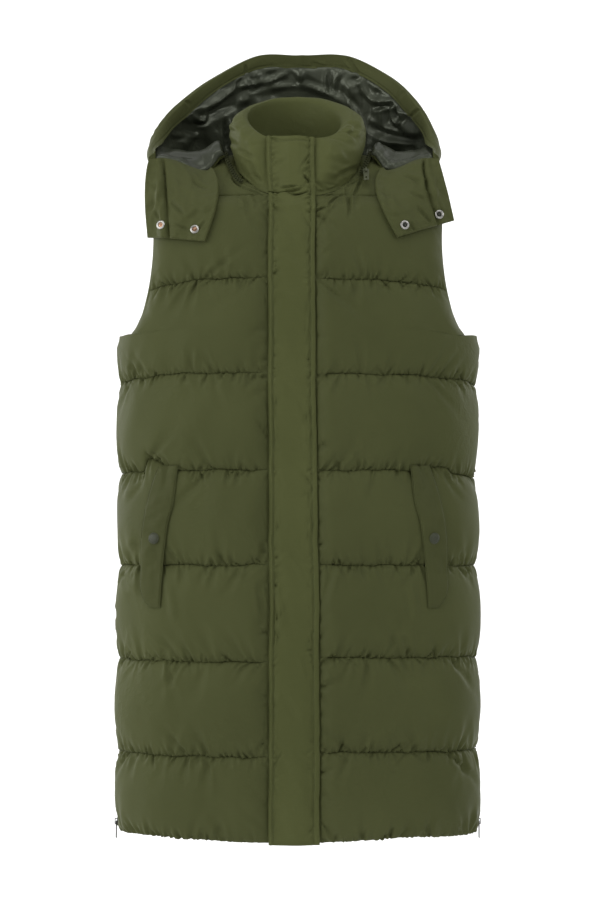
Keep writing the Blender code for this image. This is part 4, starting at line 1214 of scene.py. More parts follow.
@dataclass
class Collar:
    """The padded stand collar."""

    form: BodyForm
    seed: int = 21
    top_half_width: float = 0.066
    top_half_depth: float = 0.066
    top_y: float = -0.014
    lift: float = 0.0006  # over the body's neck seam
    rows: int = 60
    top: Table = Table(
        "angle_from_back z",
        (0.0, 0.0905),
        (25.0, 0.0870),
        (45.0, 0.0785),
        (65.0, 0.0690),
        (90.0, 0.0545),
        (120.0, 0.031),
        (148.0, 0.0140),
        (180.0, 0.0124),
    )
    padding: Table = Table(
        "share loft",
        (0.0, 0.0),
        (0.14, 0.003),
        (0.36, 0.011),
        (0.66, 0.014),
        (0.88, 0.011),
        (1.0, 0.003),
    )
    inner_loft: tuple[float, float] = (0.002, 0.015)  # on the wearer's right and left
    front_steps: int = 43
    back_steps: int = 89
    placket_steps: int = 3
    calm: tuple[float, float, float] = (0.95, 0.055, 0.015)  # share, place and reach of the smooth sides
    gathers: Gathers = Gathers(0.012, (0.008, 0.030), (0.08, 0.36), (0.0014, 0.0032), lean=(0.0, 34.0))
    inner: Array = field(init=False)
    outer: Array = field(init=False)
    normals: Array = field(init=False)
    placket_columns: tuple[int, int] = field(init=False)

    def base(self) -> Array:
        """The neck seam, from the right front's edge round the back to the left front's edge."""
        form, quarter = self.form, math.pi / 2
        edges = [form.centre_x + side.value * form.zip_width / 2 for side in Side]
        corners, plackets = (
            [math.asin(x / form.neck_half_width) for x in xs] for xs in (edges, form.placket_x)
        )
        covered, shown = self.placket_steps + 1, self.front_steps + 1
        right = np.append(
            np.linspace(corners[0], plackets[0], covered), np.linspace(plackets[0], -quarter, shown)[1:]
        )
        left = np.append(
            np.linspace(quarter, plackets[1], shown), np.linspace(plackets[1], corners[1], covered)[1:]
        )
        back = np.linspace(-quarter, quarter, self.back_steps + 1)[1:-1]
        ring = np.concatenate([form.neck(right, False), form.neck(back, True), form.neck(left, False)])
        self.placket_columns = (self.placket_steps, len(ring) - covered)
        return ring + (0, 0, self.lift)

    def top_x(self, x: Array) -> Array:
        """The top ring is narrower than the neck seam, but straight above it under the placket.

        Args:
            x: how far to the wearer's left the neck seam's points lie.

        Returns:
            How far the top ring's points lie.
        """
        right, left = self.form.placket_x
        limit = np.where(x > 0, left, -right)
        share = (np.abs(x) - limit) / (self.form.neck_half_width - limit)
        narrowed = np.copysign(limit + share * (self.top_half_width - limit), x)
        return np.where(np.abs(x) <= limit, x, narrowed)

    def build(self) -> Object:
        """Makes the collar."""
        rng = np.random.default_rng(self.seed)
        base = self.base()
        x = self.top_x(base[:, 0])
        reach = self.top_half_depth * np.sqrt(np.maximum(0, 1 - (x / self.top_half_width) ** 2))
        y = self.top_y + np.copysign(reach, base[:, 1] - NECK_MIDDLE_Y)
        angle = np.degrees(np.arctan2(np.abs(x), y - self.top_y))
        top = np.stack([x, y, self.top.at("z", angle)], axis=1)
        shares = spread_shares(self.rows, 0.4)
        self.inner = base + shares[:, None, None] * (top - base)
        self.normals = -grid_normals(self.inner)
        self.normals[0] = unit((base - (0, NECK_MIDDLE_Y, 0)) * (1, 1, 0))
        run, _, up, down = from_edges(self.inner)
        first, last = self.placket_columns
        fade = edge_fade(np.minimum(np.abs(run - run[:, [first]]), np.abs(run - run[:, [last]])), 0.020)
        fade[:, :first] = 0
        fade[:, last + 1:] = 0
        loft = self.padding.at("loft", shares)[:, None] * fade
        taken = self.gathers.creases(rng, run, up) + 0.6 * self.gathers.creases(rng, run, down)
        taken += 0.10 * ripple(rng, run, up, 0.05) + 0.04 * ripple(rng, run, up, 0.02)
        share, place, width = self.calm
        taken *= 1 - share * np.clip((np.abs(self.inner[..., 0]) - place) / width, 0, 1)
        loft *= np.clip(1 - taken, 0.15, 1.3)
        loft = np.maximum(loft + creased(COLLAR_CREASES, self.inner) * (self.inner[..., 1] < 0), 0)
        self.outer = self.inner + self.normals * (SEAM_THICKNESS + loft)[..., None]
        inside = np.interp(self.inner[..., 0], (-0.04, 0.04), self.inner_loft) * fade
        inside *= bump(shares, 0.3)[:, None]
        lining = self.inner - self.normals * inside[..., None]
        # The collar takes the lighter copy of the shell cloth: painted light.
        piece = Wall("collar_padded", self.outer, lining, stride=3).build("collar", Finish.FLAT)
        return piece


@dataclass
class Placket:
    """The flat placket that covers the zip, from the hem to the collar's top."""

    seed: int = 31
    columns: int = 56
    clearance: float = 0.0005
    drop: float = 0.0025
    loft: float = 0.0024
    thinnest: float = 0.0006
    stitch_insets: tuple[float, float] = (0.0058, 0.0076)  # on the wearer's right and left
    groove: float = 0.0013
    groove_width: float = 0.0013
    rims: tuple[float, float] = (0.0013, 0.0002)
    tuck: float = 0.70  # how far the sewn edge sinks into the front, in shares of its thickness
    pucker: float = 0.0034
    gathers: Gathers = Gathers(0.006, (0.003, 0.012), (0.3, 1.0), (0.0009, 0.0019), lean=(0.0, 34.0))
    settle: int = 9  # how many rows each normal is averaged over
    outer: Array = field(init=False)
    normals: Array = field(init=False)

    def strip(self, right: BodyPanel, left: BodyPanel, collar: Collar) -> Array:
        """The outer side's columns at the placket's and the zip's edges, from the hem to the collar's top.

        Args:
            right: the right front.
            left: the left front.
            collar: the collar.

        Returns:
            The four columns' points.
        """
        sewn, ring = right.seam_columns[0], collar.outer
        columns = (right.outer[:, sewn], right.outer[:, 0], left.outer[:, 0], left.outer[:, sewn])
        body = np.stack(columns, axis=1)[:-1]
        first, last = collar.placket_columns
        upper = np.stack([ring[:, first], ring[:, 0], ring[:, -1], ring[:, last]], axis=1)
        return np.concatenate([body, (body[[-1]] + upper[[1]]) / 2, upper[2:]])

    def settled(self, normals: Array) -> Array:
        """Normals averaged along each column.

        Args:
            normals: the normals, rows by columns.

        Returns:
            The averaged normals, at length 1.
        """
        margin = self.settle // 2
        padded = np.pad(normals, ((margin, margin), (0, 0), (0, 0)), mode="edge")
        kernel = np.ones(self.settle) / self.settle
        for column, place in np.ndindex(normals.shape[1:]):
            normals[:, column, place] = np.convolve(padded[:, column, place], kernel, mode="valid")
        return unit(normals)

    def build(self, right: BodyPanel, left: BodyPanel, collar: Collar) -> Object:
        """Makes the placket.

        Args:
            right: the right front.
            left: the left front.
            collar: the collar.

        Returns:
            The placket's object.
        """
        rng = np.random.default_rng(self.seed)
        strip = self.strip(right, left, collar)
        x0, x1 = strip[0, 0, 0], strip[0, -1, 0]
        across = spread_shares(self.columns, 0.5)
        places = (strip[0, :, 0] - x0) / (x1 - x0)
        grid = np.stack([columns_at(row, places, across) for row in strip])
        self.normals = self.settled(unit(grid_normals(grid) * (0, 1, 1)))
        inner = grid + self.normals * self.clearance
        inner[0, :, 2] -= self.drop
        _, _, run, down = from_edges(grid)
        width = (strip[:, -1, 0] - strip[:, 0, 0])[:, None]
        edges = (across * width, (1 - across) * width)
        nearest = np.minimum(*edges)
        height = self.loft * bump(across, 0.6) + np.zeros(run.shape)
        height += SEAM_THICKNESS * (1 - self.tuck * (1 - edge_fade(edges[0], 0.004)))
        level = np.repeat(run[:, :1], len(across), axis=1)
        for inset, rim, away in zip(self.stitch_insets, self.rims, edges):
            within = away - inset
            height += rim * peak(away - inset * 0.45, inset * 0.30)
            height -= self.groove * peak(within, self.groove_width)
            height -= self.pucker * self.gathers.creases(rng, level, within) * edge_fade(within, 0.003)
            height += 0.0005 * ripple(rng, level, within, 0.009) * peak(within, 0.006)
        inset = self.stitch_insets[0]
        between = edge_fade(np.maximum(nearest - inset, 0), 0.002)
        height -= self.groove * between * peak(down - inset, self.groove_width)
        soft = 0.0009 * ripple(rng, across[None, :] * 0.10, run, 0.10)
        soft += 0.0006 * ripple(rng, across[None, :] * 0.06 + run * 0.3, run * 0.4, 0.03)
        height += soft * edge_fade(nearest - 0.006, 0.010)
        height = np.maximum(height + creased(PLACKET_CREASES, inner), self.thinnest)
        for lift, wave in ((0.0007, 0.11), (0.0003, 0.03)):
            inner[..., 0] += lift * ripple(rng, run[:, :1], run[:, :1] * 0, wave)
        self.outer = inner + self.normals * height[..., None]
        # The placket takes the lighter copy of the shell cloth: painted light.
        piece = Wall("placket_cloth", self.outer, inner, stride=3).build("placket", Finish.FLAT)
        return piece


# The hood


@dataclass
class HoodForm:
    """The hood, lying down behind the collar as a trough."""

    start: Array  # the zip strip's outer row that its lower edge rests on
    end_angle: float = 106.0
    seam_angle: float = 28.0
    rise: float = 0.006
    lean: float = 0.085
    lean_z: float = 0.10
    shell_thickness: float = 0.003
    knots: tuple[float, ...] = (0.0, 0.30, 0.62, 1.0)
    side_columns: int = 66
    centre_columns: int = 46
    rows: int = 90
    shape: Table = Table(
        "angle start_lift floor_r floor_z wall_r wall_z brim_r brim_z",
        (0.0, 0.0010, 0.158, -0.074, 0.187, -0.006, 0.140, 0.163),
        (25.0, 0.0015, 0.154, -0.066, 0.190, -0.002, 0.153, 0.160),
        (45.0, 0.0025, 0.146, -0.036, 0.190, 0.012, 0.171, 0.124),
        (60.0, 0.0025, 0.138, -0.010, 0.188, 0.020, 0.177, 0.0890),
        (70.0, 0.0020, 0.134, 0.002, 0.184, 0.020, 0.178, 0.067),
        (80.0, 0.0020, 0.130, 0.004, 0.179, 0.016, 0.179, 0.0445),
        (90.0, 0.0030, 0.127, 0.002, 0.174, 0.004, 0.183, 0.021),
        (98.0, 0.0036, 0.124, -0.008, 0.170, -0.006, 0.187, 0.004),
        (106.0, 0.0030, 0.120, -0.023, 0.164, -0.011, 0.189, -0.011),
    )
    skew: Table = Table(
        "angle brim_r brim_z",
        (20.0, 0.0, 0.0),
        (50.0, 0.001, 0.006),
        (80.0, 0.002, 0.000),
        (106.0, 0.009, 0.000),
    )  # how much farther out and higher the brim lies on the wearer's left
    band: Table = Table(
        "angle start flare",
        (0.0, 0.963, 0.000),
        (25.0, 0.957, 0.000),
        (45.0, 0.932, 0.003),
        (60.0, 0.885, 0.006),
        (75.0, 0.860, 0.008),
        (106.0, 0.875, 0.008),
    )  # the share at which the brim's facing starts, and how far that edge stands off

    def __post_init__(self) -> None:
        """Lays out the whole inside."""
        side = np.linspace(self.seam_angle, self.end_angle, self.side_columns)
        centre = np.linspace(-self.seam_angle, self.seam_angle, self.centre_columns)
        self.angles = np.concatenate([-side[::-1], centre[1:-1], side])
        self.shares = spread_shares(self.rows, 0.3)
        self.points = self.inside(self.angles, self.shares)
        self.outward = -grid_normals(self.points)
        self.outward[0] = (0, 0, -1)

    def inside(self, angles: Array, shares: Array) -> Array:
        """Points of the inside.

        Args:
            angles: where round the hood the columns lie, in degrees from the middle of the back.
            shares: the rows' shares of the way from the zip to the brim.

        Returns:
            The points, rows by columns.
        """
        edge = self.start + (0, 0, LINING_THICKNESS + SEAM_GAP + self.shell_thickness)
        away = edge - (0, NECK_MIDDLE_Y, 0)
        at_start = np.degrees(np.arctan2(away[:, 0], away[:, 1]))
        start_r = np.interp(angles, at_start, np.hypot(away[:, 0], away[:, 1]))
        start_z = np.interp(angles, at_start, edge[:, 2])
        at = {name: self.shape.at(name, np.abs(angles)) for name in self.shape.columns}
        for name in ("brim_r", "brim_z"):
            at[name] = at[name] + np.where(angles > 0, self.skew.at(name, angles), 0)
        radii = np.stack([start_r, at["floor_r"], at["wall_r"], at["brim_r"]])
        heights = np.stack([start_z + at["start_lift"], at["floor_z"], at["wall_z"], at["brim_z"]])
        radius = smooth(self.knots, radii, shares)
        z = smooth(self.knots, heights, shares)
        z = z + (self.rise * np.sin(math.pi * np.minimum(shares / self.knots[1], 1)))[:, None]
        lean = self.lean * (z - self.lean_z) * (shares**2)[:, None]
        turn = np.radians(angles)
        return np.stack([radius * np.sin(turn) + lean, NECK_MIDDLE_Y + radius * np.cos(turn), z], axis=-1)

    def strip(self, angles: Array, start: Array | float, end: Array | float, rows: int) -> Array:
        """Points of a strip of the inside.

        Args:
            angles: where round the hood the columns lie, in degrees.
            start: the share at which the strip starts, for all columns or for each.
            end: the share at which it ends.
            rows: how many rows it has.

        Returns:
            The points, rows by columns.
        """
        columns = [
            self.inside(np.array([angle]), np.linspace(low, high, rows))
            for angle, low, high in zip(*np.broadcast_arrays(angles, start, end))
        ]
        return np.concatenate(columns, axis=1)

    def band_at(self, angles: Array) -> tuple[Array, Array]:
        """The share at which the brim's facing starts, and how far that edge stands off."""
        return tuple(self.band.at(name, np.abs(angles)) for name in ("start", "flare"))

    def spans(self) -> dict[str, slice]:
        """The columns of the right, centre and left panels."""
        first = self.side_columns - 1
        last = first + self.centre_columns - 1
        return {"right": slice(0, first + 1), "centre": slice(first, last + 1), "left": slice(last, None)}


@dataclass
class HoodShell:
    """The hood's three outer panels."""

    form: HoodForm
    seed: int = 41
    loft: float = 0.005
    gathers: Gathers = Gathers(0.022, (0.010, 0.045), (0.10, 0.45), (0.002, 0.005))

    def build(self) -> Iterator[Object]:
        """Makes the panels, one after the other."""
        rng = np.random.default_rng(self.seed)
        for word, span in self.form.spans().items():
            points = self.form.points[:, span].copy()
            outward = self.form.outward[:, span]
            run, rest, up, down = from_edges(points)
            for edge, beside in ((0, 1), (-1, -2)):
                if (word, edge) not in {("right", 0), ("left", -1)}:
                    points[:, edge] += unit(points[:, beside] - points[:, edge]) * SEAM_GAP / 2
            start = points + outward * (LINING_THICKNESS + SEAM_GAP)
            loft = self.loft * bump(up / up[[-1]]) * bump(run / run[:, [-1]])
            taken = self.gathers.creases(rng, up, run) + self.gathers.creases(rng, up, rest)
            taken += self.gathers.creases(rng, run, up) + self.gathers.creases(rng, run, down)
            folds = 0.30 * ripple(rng, run, up * 0.6, 0.09) + 0.15 * ripple(rng, run * 0.5, up, 0.035)
            height = self.form.shell_thickness + loft * np.clip(1 - taken + folds, 0.1, 1.6)
            outer = start + outward * height[..., None]
            name = "hood_" + word
            piece = Wall(name + "_cloth", outer, start, stride=3).build(name, Finish.SHELL)
            yield piece


@dataclass
class HoodLining:
    """The satin inside the hood: looser than the shell, so that it lies in deep folds."""

    form: HoodForm
    seed: int = 51
    rows: int = 170
    columns: int = 300
    fullness: float = 0.004
    thickness: float = 0.0006
    tucked: float = 0.004  # how far it goes under the brim's facing, as a share of the way to the brim
    facets: tuple[tuple[float, float], ...] = ((0.085, 0.0030), (0.036, 0.0007))  # wavelengths and heights
    edge: float = 0.008  # how near its seams it is held
    calm: tuple[float, float, float] = (0.75, 0.008, 0.024)  # share, height and reach of the smooth part
    calm_beside: tuple[float, float] = (0.095, 0.115)  # how far out it starts, and is whole

    def build(self) -> Object:
        """Makes the lining."""
        form = self.form
        rng = np.random.default_rng(self.seed)
        angles = np.linspace(-form.end_angle, form.end_angle, self.columns)
        grid = form.strip(angles, 0.0, form.band_at(angles)[0] + self.tucked, self.rows)
        outward = -grid_normals(grid)
        outward[0] = (0, 0, -1)
        run, rest, up, down = from_edges(grid)
        held = np.minimum.reduce([run, rest, up, down])
        share, level, reach = self.calm
        beside = np.interp(np.abs(grid[..., 0]), self.calm_beside, (0, 1))
        folds = creased(LINING_FOLDS, grid)
        for wave, height in self.facets:
            folds += height * (0.8 - np.sqrt(ripple(rng, run, up, wave) ** 2 + 0.03))
        folds *= 1 - share * beside * peak(grid[..., 2] - level, reach)
        loose = np.maximum(self.fullness + folds, 0.0004) * edge_fade(held, self.edge)
        face = grid - outward * loose[..., None]
        wall = Wall("hood_lining_satin", face, grid + outward * self.thickness)
        piece = wall.build("hood_lining", Finish.LINING, slot=Slot.LINING)
        return piece


@dataclass
class HoodBand:
    """The band of shell cloth that faces the hood's brim."""

    form: HoodForm
    seed: int = 61
    rise: float = 0.0015
    thinnest: float = 0.0006
    rows: int = 20
    columns: int = 460
    stitch_row: int = 3
    groove: tuple[float, float, float] = (0.0008, 0.003, 0.001)  # depth, place and width
    face: Array = field(init=False)
    outward: Array = field(init=False)

    def build(self) -> Object:
        """Makes the band."""
        form = self.form
        rng = np.random.default_rng(self.seed)
        angles = np.linspace(-form.end_angle, form.end_angle, self.columns)
        start, flare = form.band_at(angles)
        points = form.strip(angles, start, 1.0, self.rows)
        self.outward = -grid_normals(points)
        run, _, up, _ = from_edges(points)
        height = self.rise + flare * np.linspace(1, 0, self.rows)[:, None] ** 0.8
        height += 0.0006 * ripple(rng, run * 0.4, up, 0.03) + creased(BAND_CREASES, points)
        depth, place, width = self.groove
        height = np.maximum(height - depth * peak(up - place, width), self.thinnest)
        self.face = points - self.outward * height[..., None]
        back = points + self.outward * LINING_THICKNESS
        piece = Wall("hood_band_cloth", self.face, back, stride=3).build("hood_band", Finish.SHELL)
        return piece

    def stitches(self) -> tuple[Array, Array]:
        """The points and normals of the stitched line along its inner edge."""
        return self.face[self.stitch_row], -self.outward[self.stitch_row]


@dataclass
class HoodFlap:
    """One of the hood's front ends, hanging over a shoulder."""

    form: HoodForm
    side: Side
    front: Surface
    bottom_in: tuple[float, float]
    bottom_out: tuple[float, float]
    bulges: tuple[float, float]
    fold: tuple[float, float, float]  # the long fold's place at the top and the bottom, and its depth
    flat: tuple[float, float]
    creases: Sequence[Crease]
    seed: int
    start_share: float = 0.26
    thickness: float = 0.003
    loft: float = 0.0055
    clearance: float = 0.003
    lean: float = 0.010
    rest_x: float = 0.183
    rows: int = 60
    columns: int = 60
    rim: tuple[float, float, float] = (0.0008, 0.002, 0.0018)  # height, place and width
    outer: Array = field(init=False)

    def hang(self, under: Array, across: Array, downs: Array) -> Array:
        """Hangs the inner side over the front, taut over its hollows.

        Args:
            under: the top row's points.
            across: the columns' shares of the way out.
            downs: the rows' shares of the way down.

        Returns:
            The inner points.
        """
        ends = zip(self.bottom_in, self.bottom_out)
        bottom_x, bottom_z = (near + across * (far - near) for near, far in ends)
        sign, (bulge_in, bulge_out) = self.side.value, self.bulges
        grid = [under]
        for down in downs[1:]:
            bulge = math.sin(math.pi * down**0.75) * (bulge_out * across - bulge_in * (1 - across))
            x = under[:, 0] + down * (sign * bottom_x - under[:, 0]) + sign * bulge
            z = under[:, 2] + down * (bottom_z - under[:, 2])
            hung = -under[:, 1] + self.lean * math.sin(math.pi / 2 * down)
            inside = np.clip(x, -self.rest_x, self.rest_x)
            on_panel = np.array([self.front.depth(a, b) for a, b in zip(inside, z)])
            grid.append(np.stack([x, -taut(np.maximum(hung, on_panel + self.clearance), across), z], axis=1))
        inner = np.array(grid)
        inner[..., 1] = -np.stack([taut(column, downs) for column in -inner[..., 1].T], axis=1)
        return inner

    def build(self) -> Object:
        """Makes the flap."""
        form, sign = self.form, self.side.value
        rng = np.random.default_rng(self.seed)
        shares = self.start_share + spread_shares(self.columns, 0.4) * (1 - self.start_share)
        angle = sign * form.end_angle
        patch = form.inside(np.array([angle - sign * 2, angle]), shares)
        outward = unit(np.cross(np.gradient(patch[:, 1], axis=0), patch[:, 1] - patch[:, 0])) * sign
        turn = math.radians(form.end_angle + 90)
        top = patch[:, 1] + np.array((sign * math.sin(turn), math.cos(turn), 0)) * SEAM_GAP
        under = top + outward * (LINING_THICKNESS + SEAM_GAP + form.shell_thickness)
        across, downs = (shares - shares[0]) / (1 - shares[0]), spread_shares(self.rows, 0.3)
        inner = self.hang(under, across, downs)
        normals = grid_normals(inner) * sign
        normals = np.where(normals[..., 1:2] > 0, -normals, normals)
        run, rest, up, down = from_edges(inner)
        fold_in, fold_out, depth = self.fold
        past_fold = across[None, :] - (fold_in + (fold_out - fold_in) * downs[:, None])
        crease = depth * peak(past_fold, 0.022) - 0.4 * depth * peak(past_fold - 0.10, 0.060)
        loft = self.loft * bump(downs[:, None]) * bump(across[None, :])
        taken = GATHERS.creases(rng, run, up) + PUCKERS.creases(rng, run, down)
        taken += GATHERS.creases(rng, up, run) + GATHERS.creases(rng, up, rest)
        folds = 0.25 * ripple(rng, run, up * 0.5, 0.035) - 0.3 * np.abs(ripple(rng, run, up * 0.7, 0.022))
        rim, place, width = self.rim
        height = self.thickness + loft * np.clip(1 - taken + folds, 0.1, 1.6)
        height += rim * peak(np.minimum.reduce([run, rest, down]) - place, width)
        height = np.maximum(height - crease + creased(self.creases, inner), 0.001)
        self.outer = inner + normals * height[..., None]
        self.outer[0] = top
        name = "hood_flap_" + self.side.word
        piece = Wall(name + "_cloth", self.outer, inner, stride=3).build(name, Finish.SHELL)
        return piece


# What lies on the fronts


@dataclass
class PocketWelt:
    """A pocket's welt, drawn half-way over the quilting's hollows."""

    side: Side
    front: Surface
    shift: float
    seed: int
    rows: int = 110
    columns: int = 34
    thickness: float = 0.0020
    loft: float = 0.0014
    clearance: float = 0.0006
    settle: int = 15  # how many rows its depth is averaged over where it follows the padding
    groove: tuple[float, float, float] = (0.0010, 0.0012, 0.0006)  # depth, place and width
    shape: Table = Table(
        "z front_x side_x",
        (-0.5838, 0.1720, 0.1860),
        (-0.5724, 0.1716, 0.1940),
        (-0.5332, 0.1690, 0.1975),
        (-0.5015, 0.1657, 0.1975),
        (-0.4775, 0.1623, 0.1950),
        (-0.4535, 0.1558, 0.1905),
        (-0.4206, 0.1518, 0.1810),
        (-0.4054, 0.1501, 0.1750),
    )
    outer: Array = field(init=False)

    def lay(self, levels: Array, across: Array) -> Array:
        """Lays the inner side on the front.

        Args:
            levels: the rows' heights.
            across: the columns' shares of the way to the side.

        Returns:
            The inner points.
        """
        front_x, side_x = (self.shape.at(name, levels) + self.shift for name in ("front_x", "side_x"))
        xs = self.side.value * (front_x[:, None] + across[None, :] * (side_x - front_x)[:, None])
        depths = np.array([[self.front.depth(x, z) for x in row] for row, z in zip(xs, levels)])
        pulled = np.stack([taut(column, levels) for column in depths.T], axis=1)
        margin = self.settle // 2
        padded = np.pad(depths, ((margin, margin), (0, 0)), mode="edge")
        followed = np.mean([padded[k:k + self.rows] for k in range(self.settle)], axis=0)
        depths = np.maximum(depths, (pulled + followed) / 2) + self.clearance
        return np.stack([xs, -depths, np.repeat(levels[:, None], len(across), axis=1)], axis=2)

    def build(self) -> Object:
        """Makes the welt."""
        rng = np.random.default_rng(self.seed)
        share = np.linspace(0, 1, self.rows)[:, None]
        levels = np.linspace(self.shape.places[0], self.shape.places[-1], self.rows)
        across = spread_shares(self.columns - 1, 0.8)
        inner = self.lay(levels, across)
        normals = grid_normals(inner) * self.side.value
        run, rest, up, down = from_edges(inner)
        edge = np.minimum.reduce([run, rest, up, down])
        loft = self.loft * bump(share) * bump(across[None, :])
        folds = 0.5 * ripple(rng, run + up * 0.4, up * 0.3, 0.03) + 0.3 * ripple(rng, run, up, 0.02)
        depth, place, width = self.groove
        height = self.thickness * edge_fade(edge + 0.0010, 0.003) + loft * (1 + folds)
        height -= depth * peak(edge - place, width)
        self.outer = inner + normals * height[..., None]
        name = "pocket_welt_" + self.side.word
        # The welt takes the darker copy of the shell cloth: painted shade.
        piece = Wall(name + "_cloth", self.outer, inner, stride=3).build(name, Finish.WELT)
        return piece


Profile = tuple[tuple[float, float], ...]


class SnapStyle(Enum):
    """A snap's rim and its middle in half section, as shares of its radius out and up."""

    RING = (
        (
            (0.50, 0.0), (0.95, 0.0), (1.0, 0.06), (0.98, 0.14),
            (0.88, 0.22), (0.74, 0.26), (0.60, 0.22), (0.52, 0.12),
        ),
        ((0.0, 0.0), (0.46, 0.0), (0.46, 0.05), (0.26, 0.07), (0.24, 0.26), (0.16, 0.33), (0.0, 0.34)),
    )
    CAP = (
        ((0.86, 0.0), (0.98, 0.0), (1.0, 0.05), (0.98, 0.11), (0.90, 0.15), (0.84, 0.12)),
        ((0.0, 0.0), (0.82, 0.0), (0.82, 0.12), (0.76, 0.19), (0.60, 0.25), (0.35, 0.29), (0.0, 0.30)),
    )


@dataclass
class Snap:
    """A press snap on a piece of cloth."""

    name: str
    style: SnapStyle
    radius: float
    lift: float  # how far off the cloth it sits
    place: Vector
    normal: Vector
    rim: Finish
    middle: Finish
    slot: Slot
    steps: int = 40

    def turned(self, profile: Profile) -> Shape:
        """A profile spun round the snap's axis.

        Args:
            profile: its points, out and up. One that starts off the axis is closed to a ring.

        Returns:
            The mesh, in its place.
        """
        mesh = bmesh.new()
        points = [mesh.verts.new((self.radius * r, 0, self.radius * h)) for r, h in profile]
        edges = [mesh.edges.new(pair) for pair in zip(points, points[1:])]
        if profile[0][0] > 0:
            edges.append(mesh.edges.new((points[-1], points[0])))
        bmesh.ops.spin(
            mesh, geom=points + edges, axis=(0, 0, 1), cent=(0, 0, 0), steps=self.steps, angle=math.tau,
            use_merge=True,
        )
        bmesh.ops.remove_doubles(mesh, verts=mesh.verts, dist=WELD)
        turn = Vector((0, 0, 1)).rotation_difference(self.normal).to_matrix().to_4x4()
        move = Matrix.Translation(self.place + self.normal * self.lift)
        bmesh.ops.transform(mesh, matrix=move @ turn, verts=mesh.verts)
        return mesh

    def build(self) -> Iterator[Object]:
        """Makes the rim, which stands for the frame's node, and the middle."""
        rim, middle = (self.turned(profile) for profile in self.style.value)
        yield enter(finished(self.name + "_ring", rim, self.rim, sharp=50), self.slot, self.name)
        yield enter(finished(self.name + "_middle", middle, self.middle, sharp=50), self.slot)


# Zips


@dataclass
class ZipChain:
    """A closed zip: its tape and its teeth, along a line on a surface."""

    name: str
    line: Array
    normals: Array
    tape_width: float
    teeth: Finish = Finish.DARK
    thickness: float = 0.0016
    pitch: float = 0.0026
    tooth: tuple[float, float, float] = (0.0016, 0.0034, 0.0019)
    tooth_edge: float = 0.00022
    stagger: float = 0.0009

    def build(self) -> Iterator[Object]:
        """Makes the tape, which stands for the frame's node, and the teeth."""
        frames = frames_along(self.line, self.normals, self.pitch)
        beside, rise, centre = (frames[:, :3, k] for k in (1, 2, 3))
        shares = np.linspace(-1, 1, 7)
        low = centre[:, None] + beside[:, None] * (shares * self.tape_width / 2)[None, :, None]
        tape_rise = self.thickness * 0.45
        high = low + rise[:, None] * tape_rise
        tape = Wall(self.name + "_tape", high, low, stride=1)
        yield tape.build(self.name, Finish.TAPE, slot=Slot.DARK_METAL)
        shape = bmesh.new()
        bmesh.ops.create_cube(shape, size=1.0)
        bmesh.ops.scale(shape, vec=self.tooth, verts=shape.verts)
        bevel(shape, self.tooth_edge, segments=1)
        sides = np.where(np.arange(len(frames)) % 2, self.stagger, -self.stagger)[:, None]
        frames[:, :3, 3] = centre + rise * (tape_rise + self.tooth[2] * 0.4) + beside * sides
        yield scattered(self.name + "_teeth", shape, frames, self.teeth, Slot.DARK_METAL)


@dataclass
class HoodZipLine:
    """The line round the collar where the hood's zip lies."""

    panels: Sequence[Surface]
    radii: tuple[float, float] = (0.0895, 0.0970)
    angles: tuple[int, int] = (-132, 120)
    step: int = 7
    clearance: float = 0.0040
    thickness: float = 0.0016

    def ring(self, radius: float, angles: Array) -> Array:
        """Points on the panels, round the neck.

        Args:
            radius: how far from the neck's middle they lie.
            angles: where round it, 0 at the back.

        Returns:
            The points.
        """
        xs, ys = radius * np.sin(angles), NECK_MIDDLE_Y + radius * np.cos(angles)
        heights = [max(panel.height(x, y) for panel in self.panels) for x, y in zip(xs, ys)]
        return np.stack([xs, ys, heights], axis=1)

    def rows(self) -> tuple[Array, Array]:
        """The strip's two rows on its lower side, and their normals."""
        angles = np.radians(np.arange(self.angles[0], self.angles[1] + 1, self.step))
        rows = []
        for radius in self.radii:
            row = self.ring(radius, angles)
            between = self.ring(radius, (angles[:-1] + angles[1:]) / 2)
            excess = np.maximum(between[:, 2] - (row[:-1, 2] + row[1:, 2]) / 2, 0)
            row[:, 2] += np.maximum(np.append(excess, 0), np.append(0, excess))
            rows.append(row)
        grid = np.array(rows)
        normals = grid_normals(grid)
        return grid + normals * self.clearance, normals


def bevel(mesh: Shape, width: float, segments: int) -> None:
    """Rounds every edge of a mesh."""
    bmesh.ops.bevel(
        mesh, geom=mesh.edges[:], offset=width, affect="EDGES", segments=segments, profile=0.5, material=-1
    )


@dataclass
class Hardware:
    """A slider or a pull tab: the frame's solid with its edges rounded."""

    node: str
    finish: Finish = Finish.DARK
    body: str = VEST
    edge: float = 0.00028
    flat: float = 0.02  # faces that turn by less than this, in radians, are joined

    def build(self, frame: dict) -> Object:
        """Makes the piece.

        Args:
            frame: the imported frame.

        Returns:
            Its object.
        """
        mesh = bmesh.new()
        mesh.from_mesh(frame["nodes"][self.node].data)
        bmesh.ops.remove_doubles(mesh, verts=mesh.verts, dist=WELD)
        bmesh.ops.dissolve_limit(mesh, angle_limit=self.flat, verts=mesh.verts, edges=mesh.edges)
        bevel(mesh, self.edge, segments=2)
        piece = finished(self.node + "_rounded", mesh, self.finish, sharp=45, body=self.body)
        return enter(piece, Slot.DARK_METAL, self.node)


# Sewing


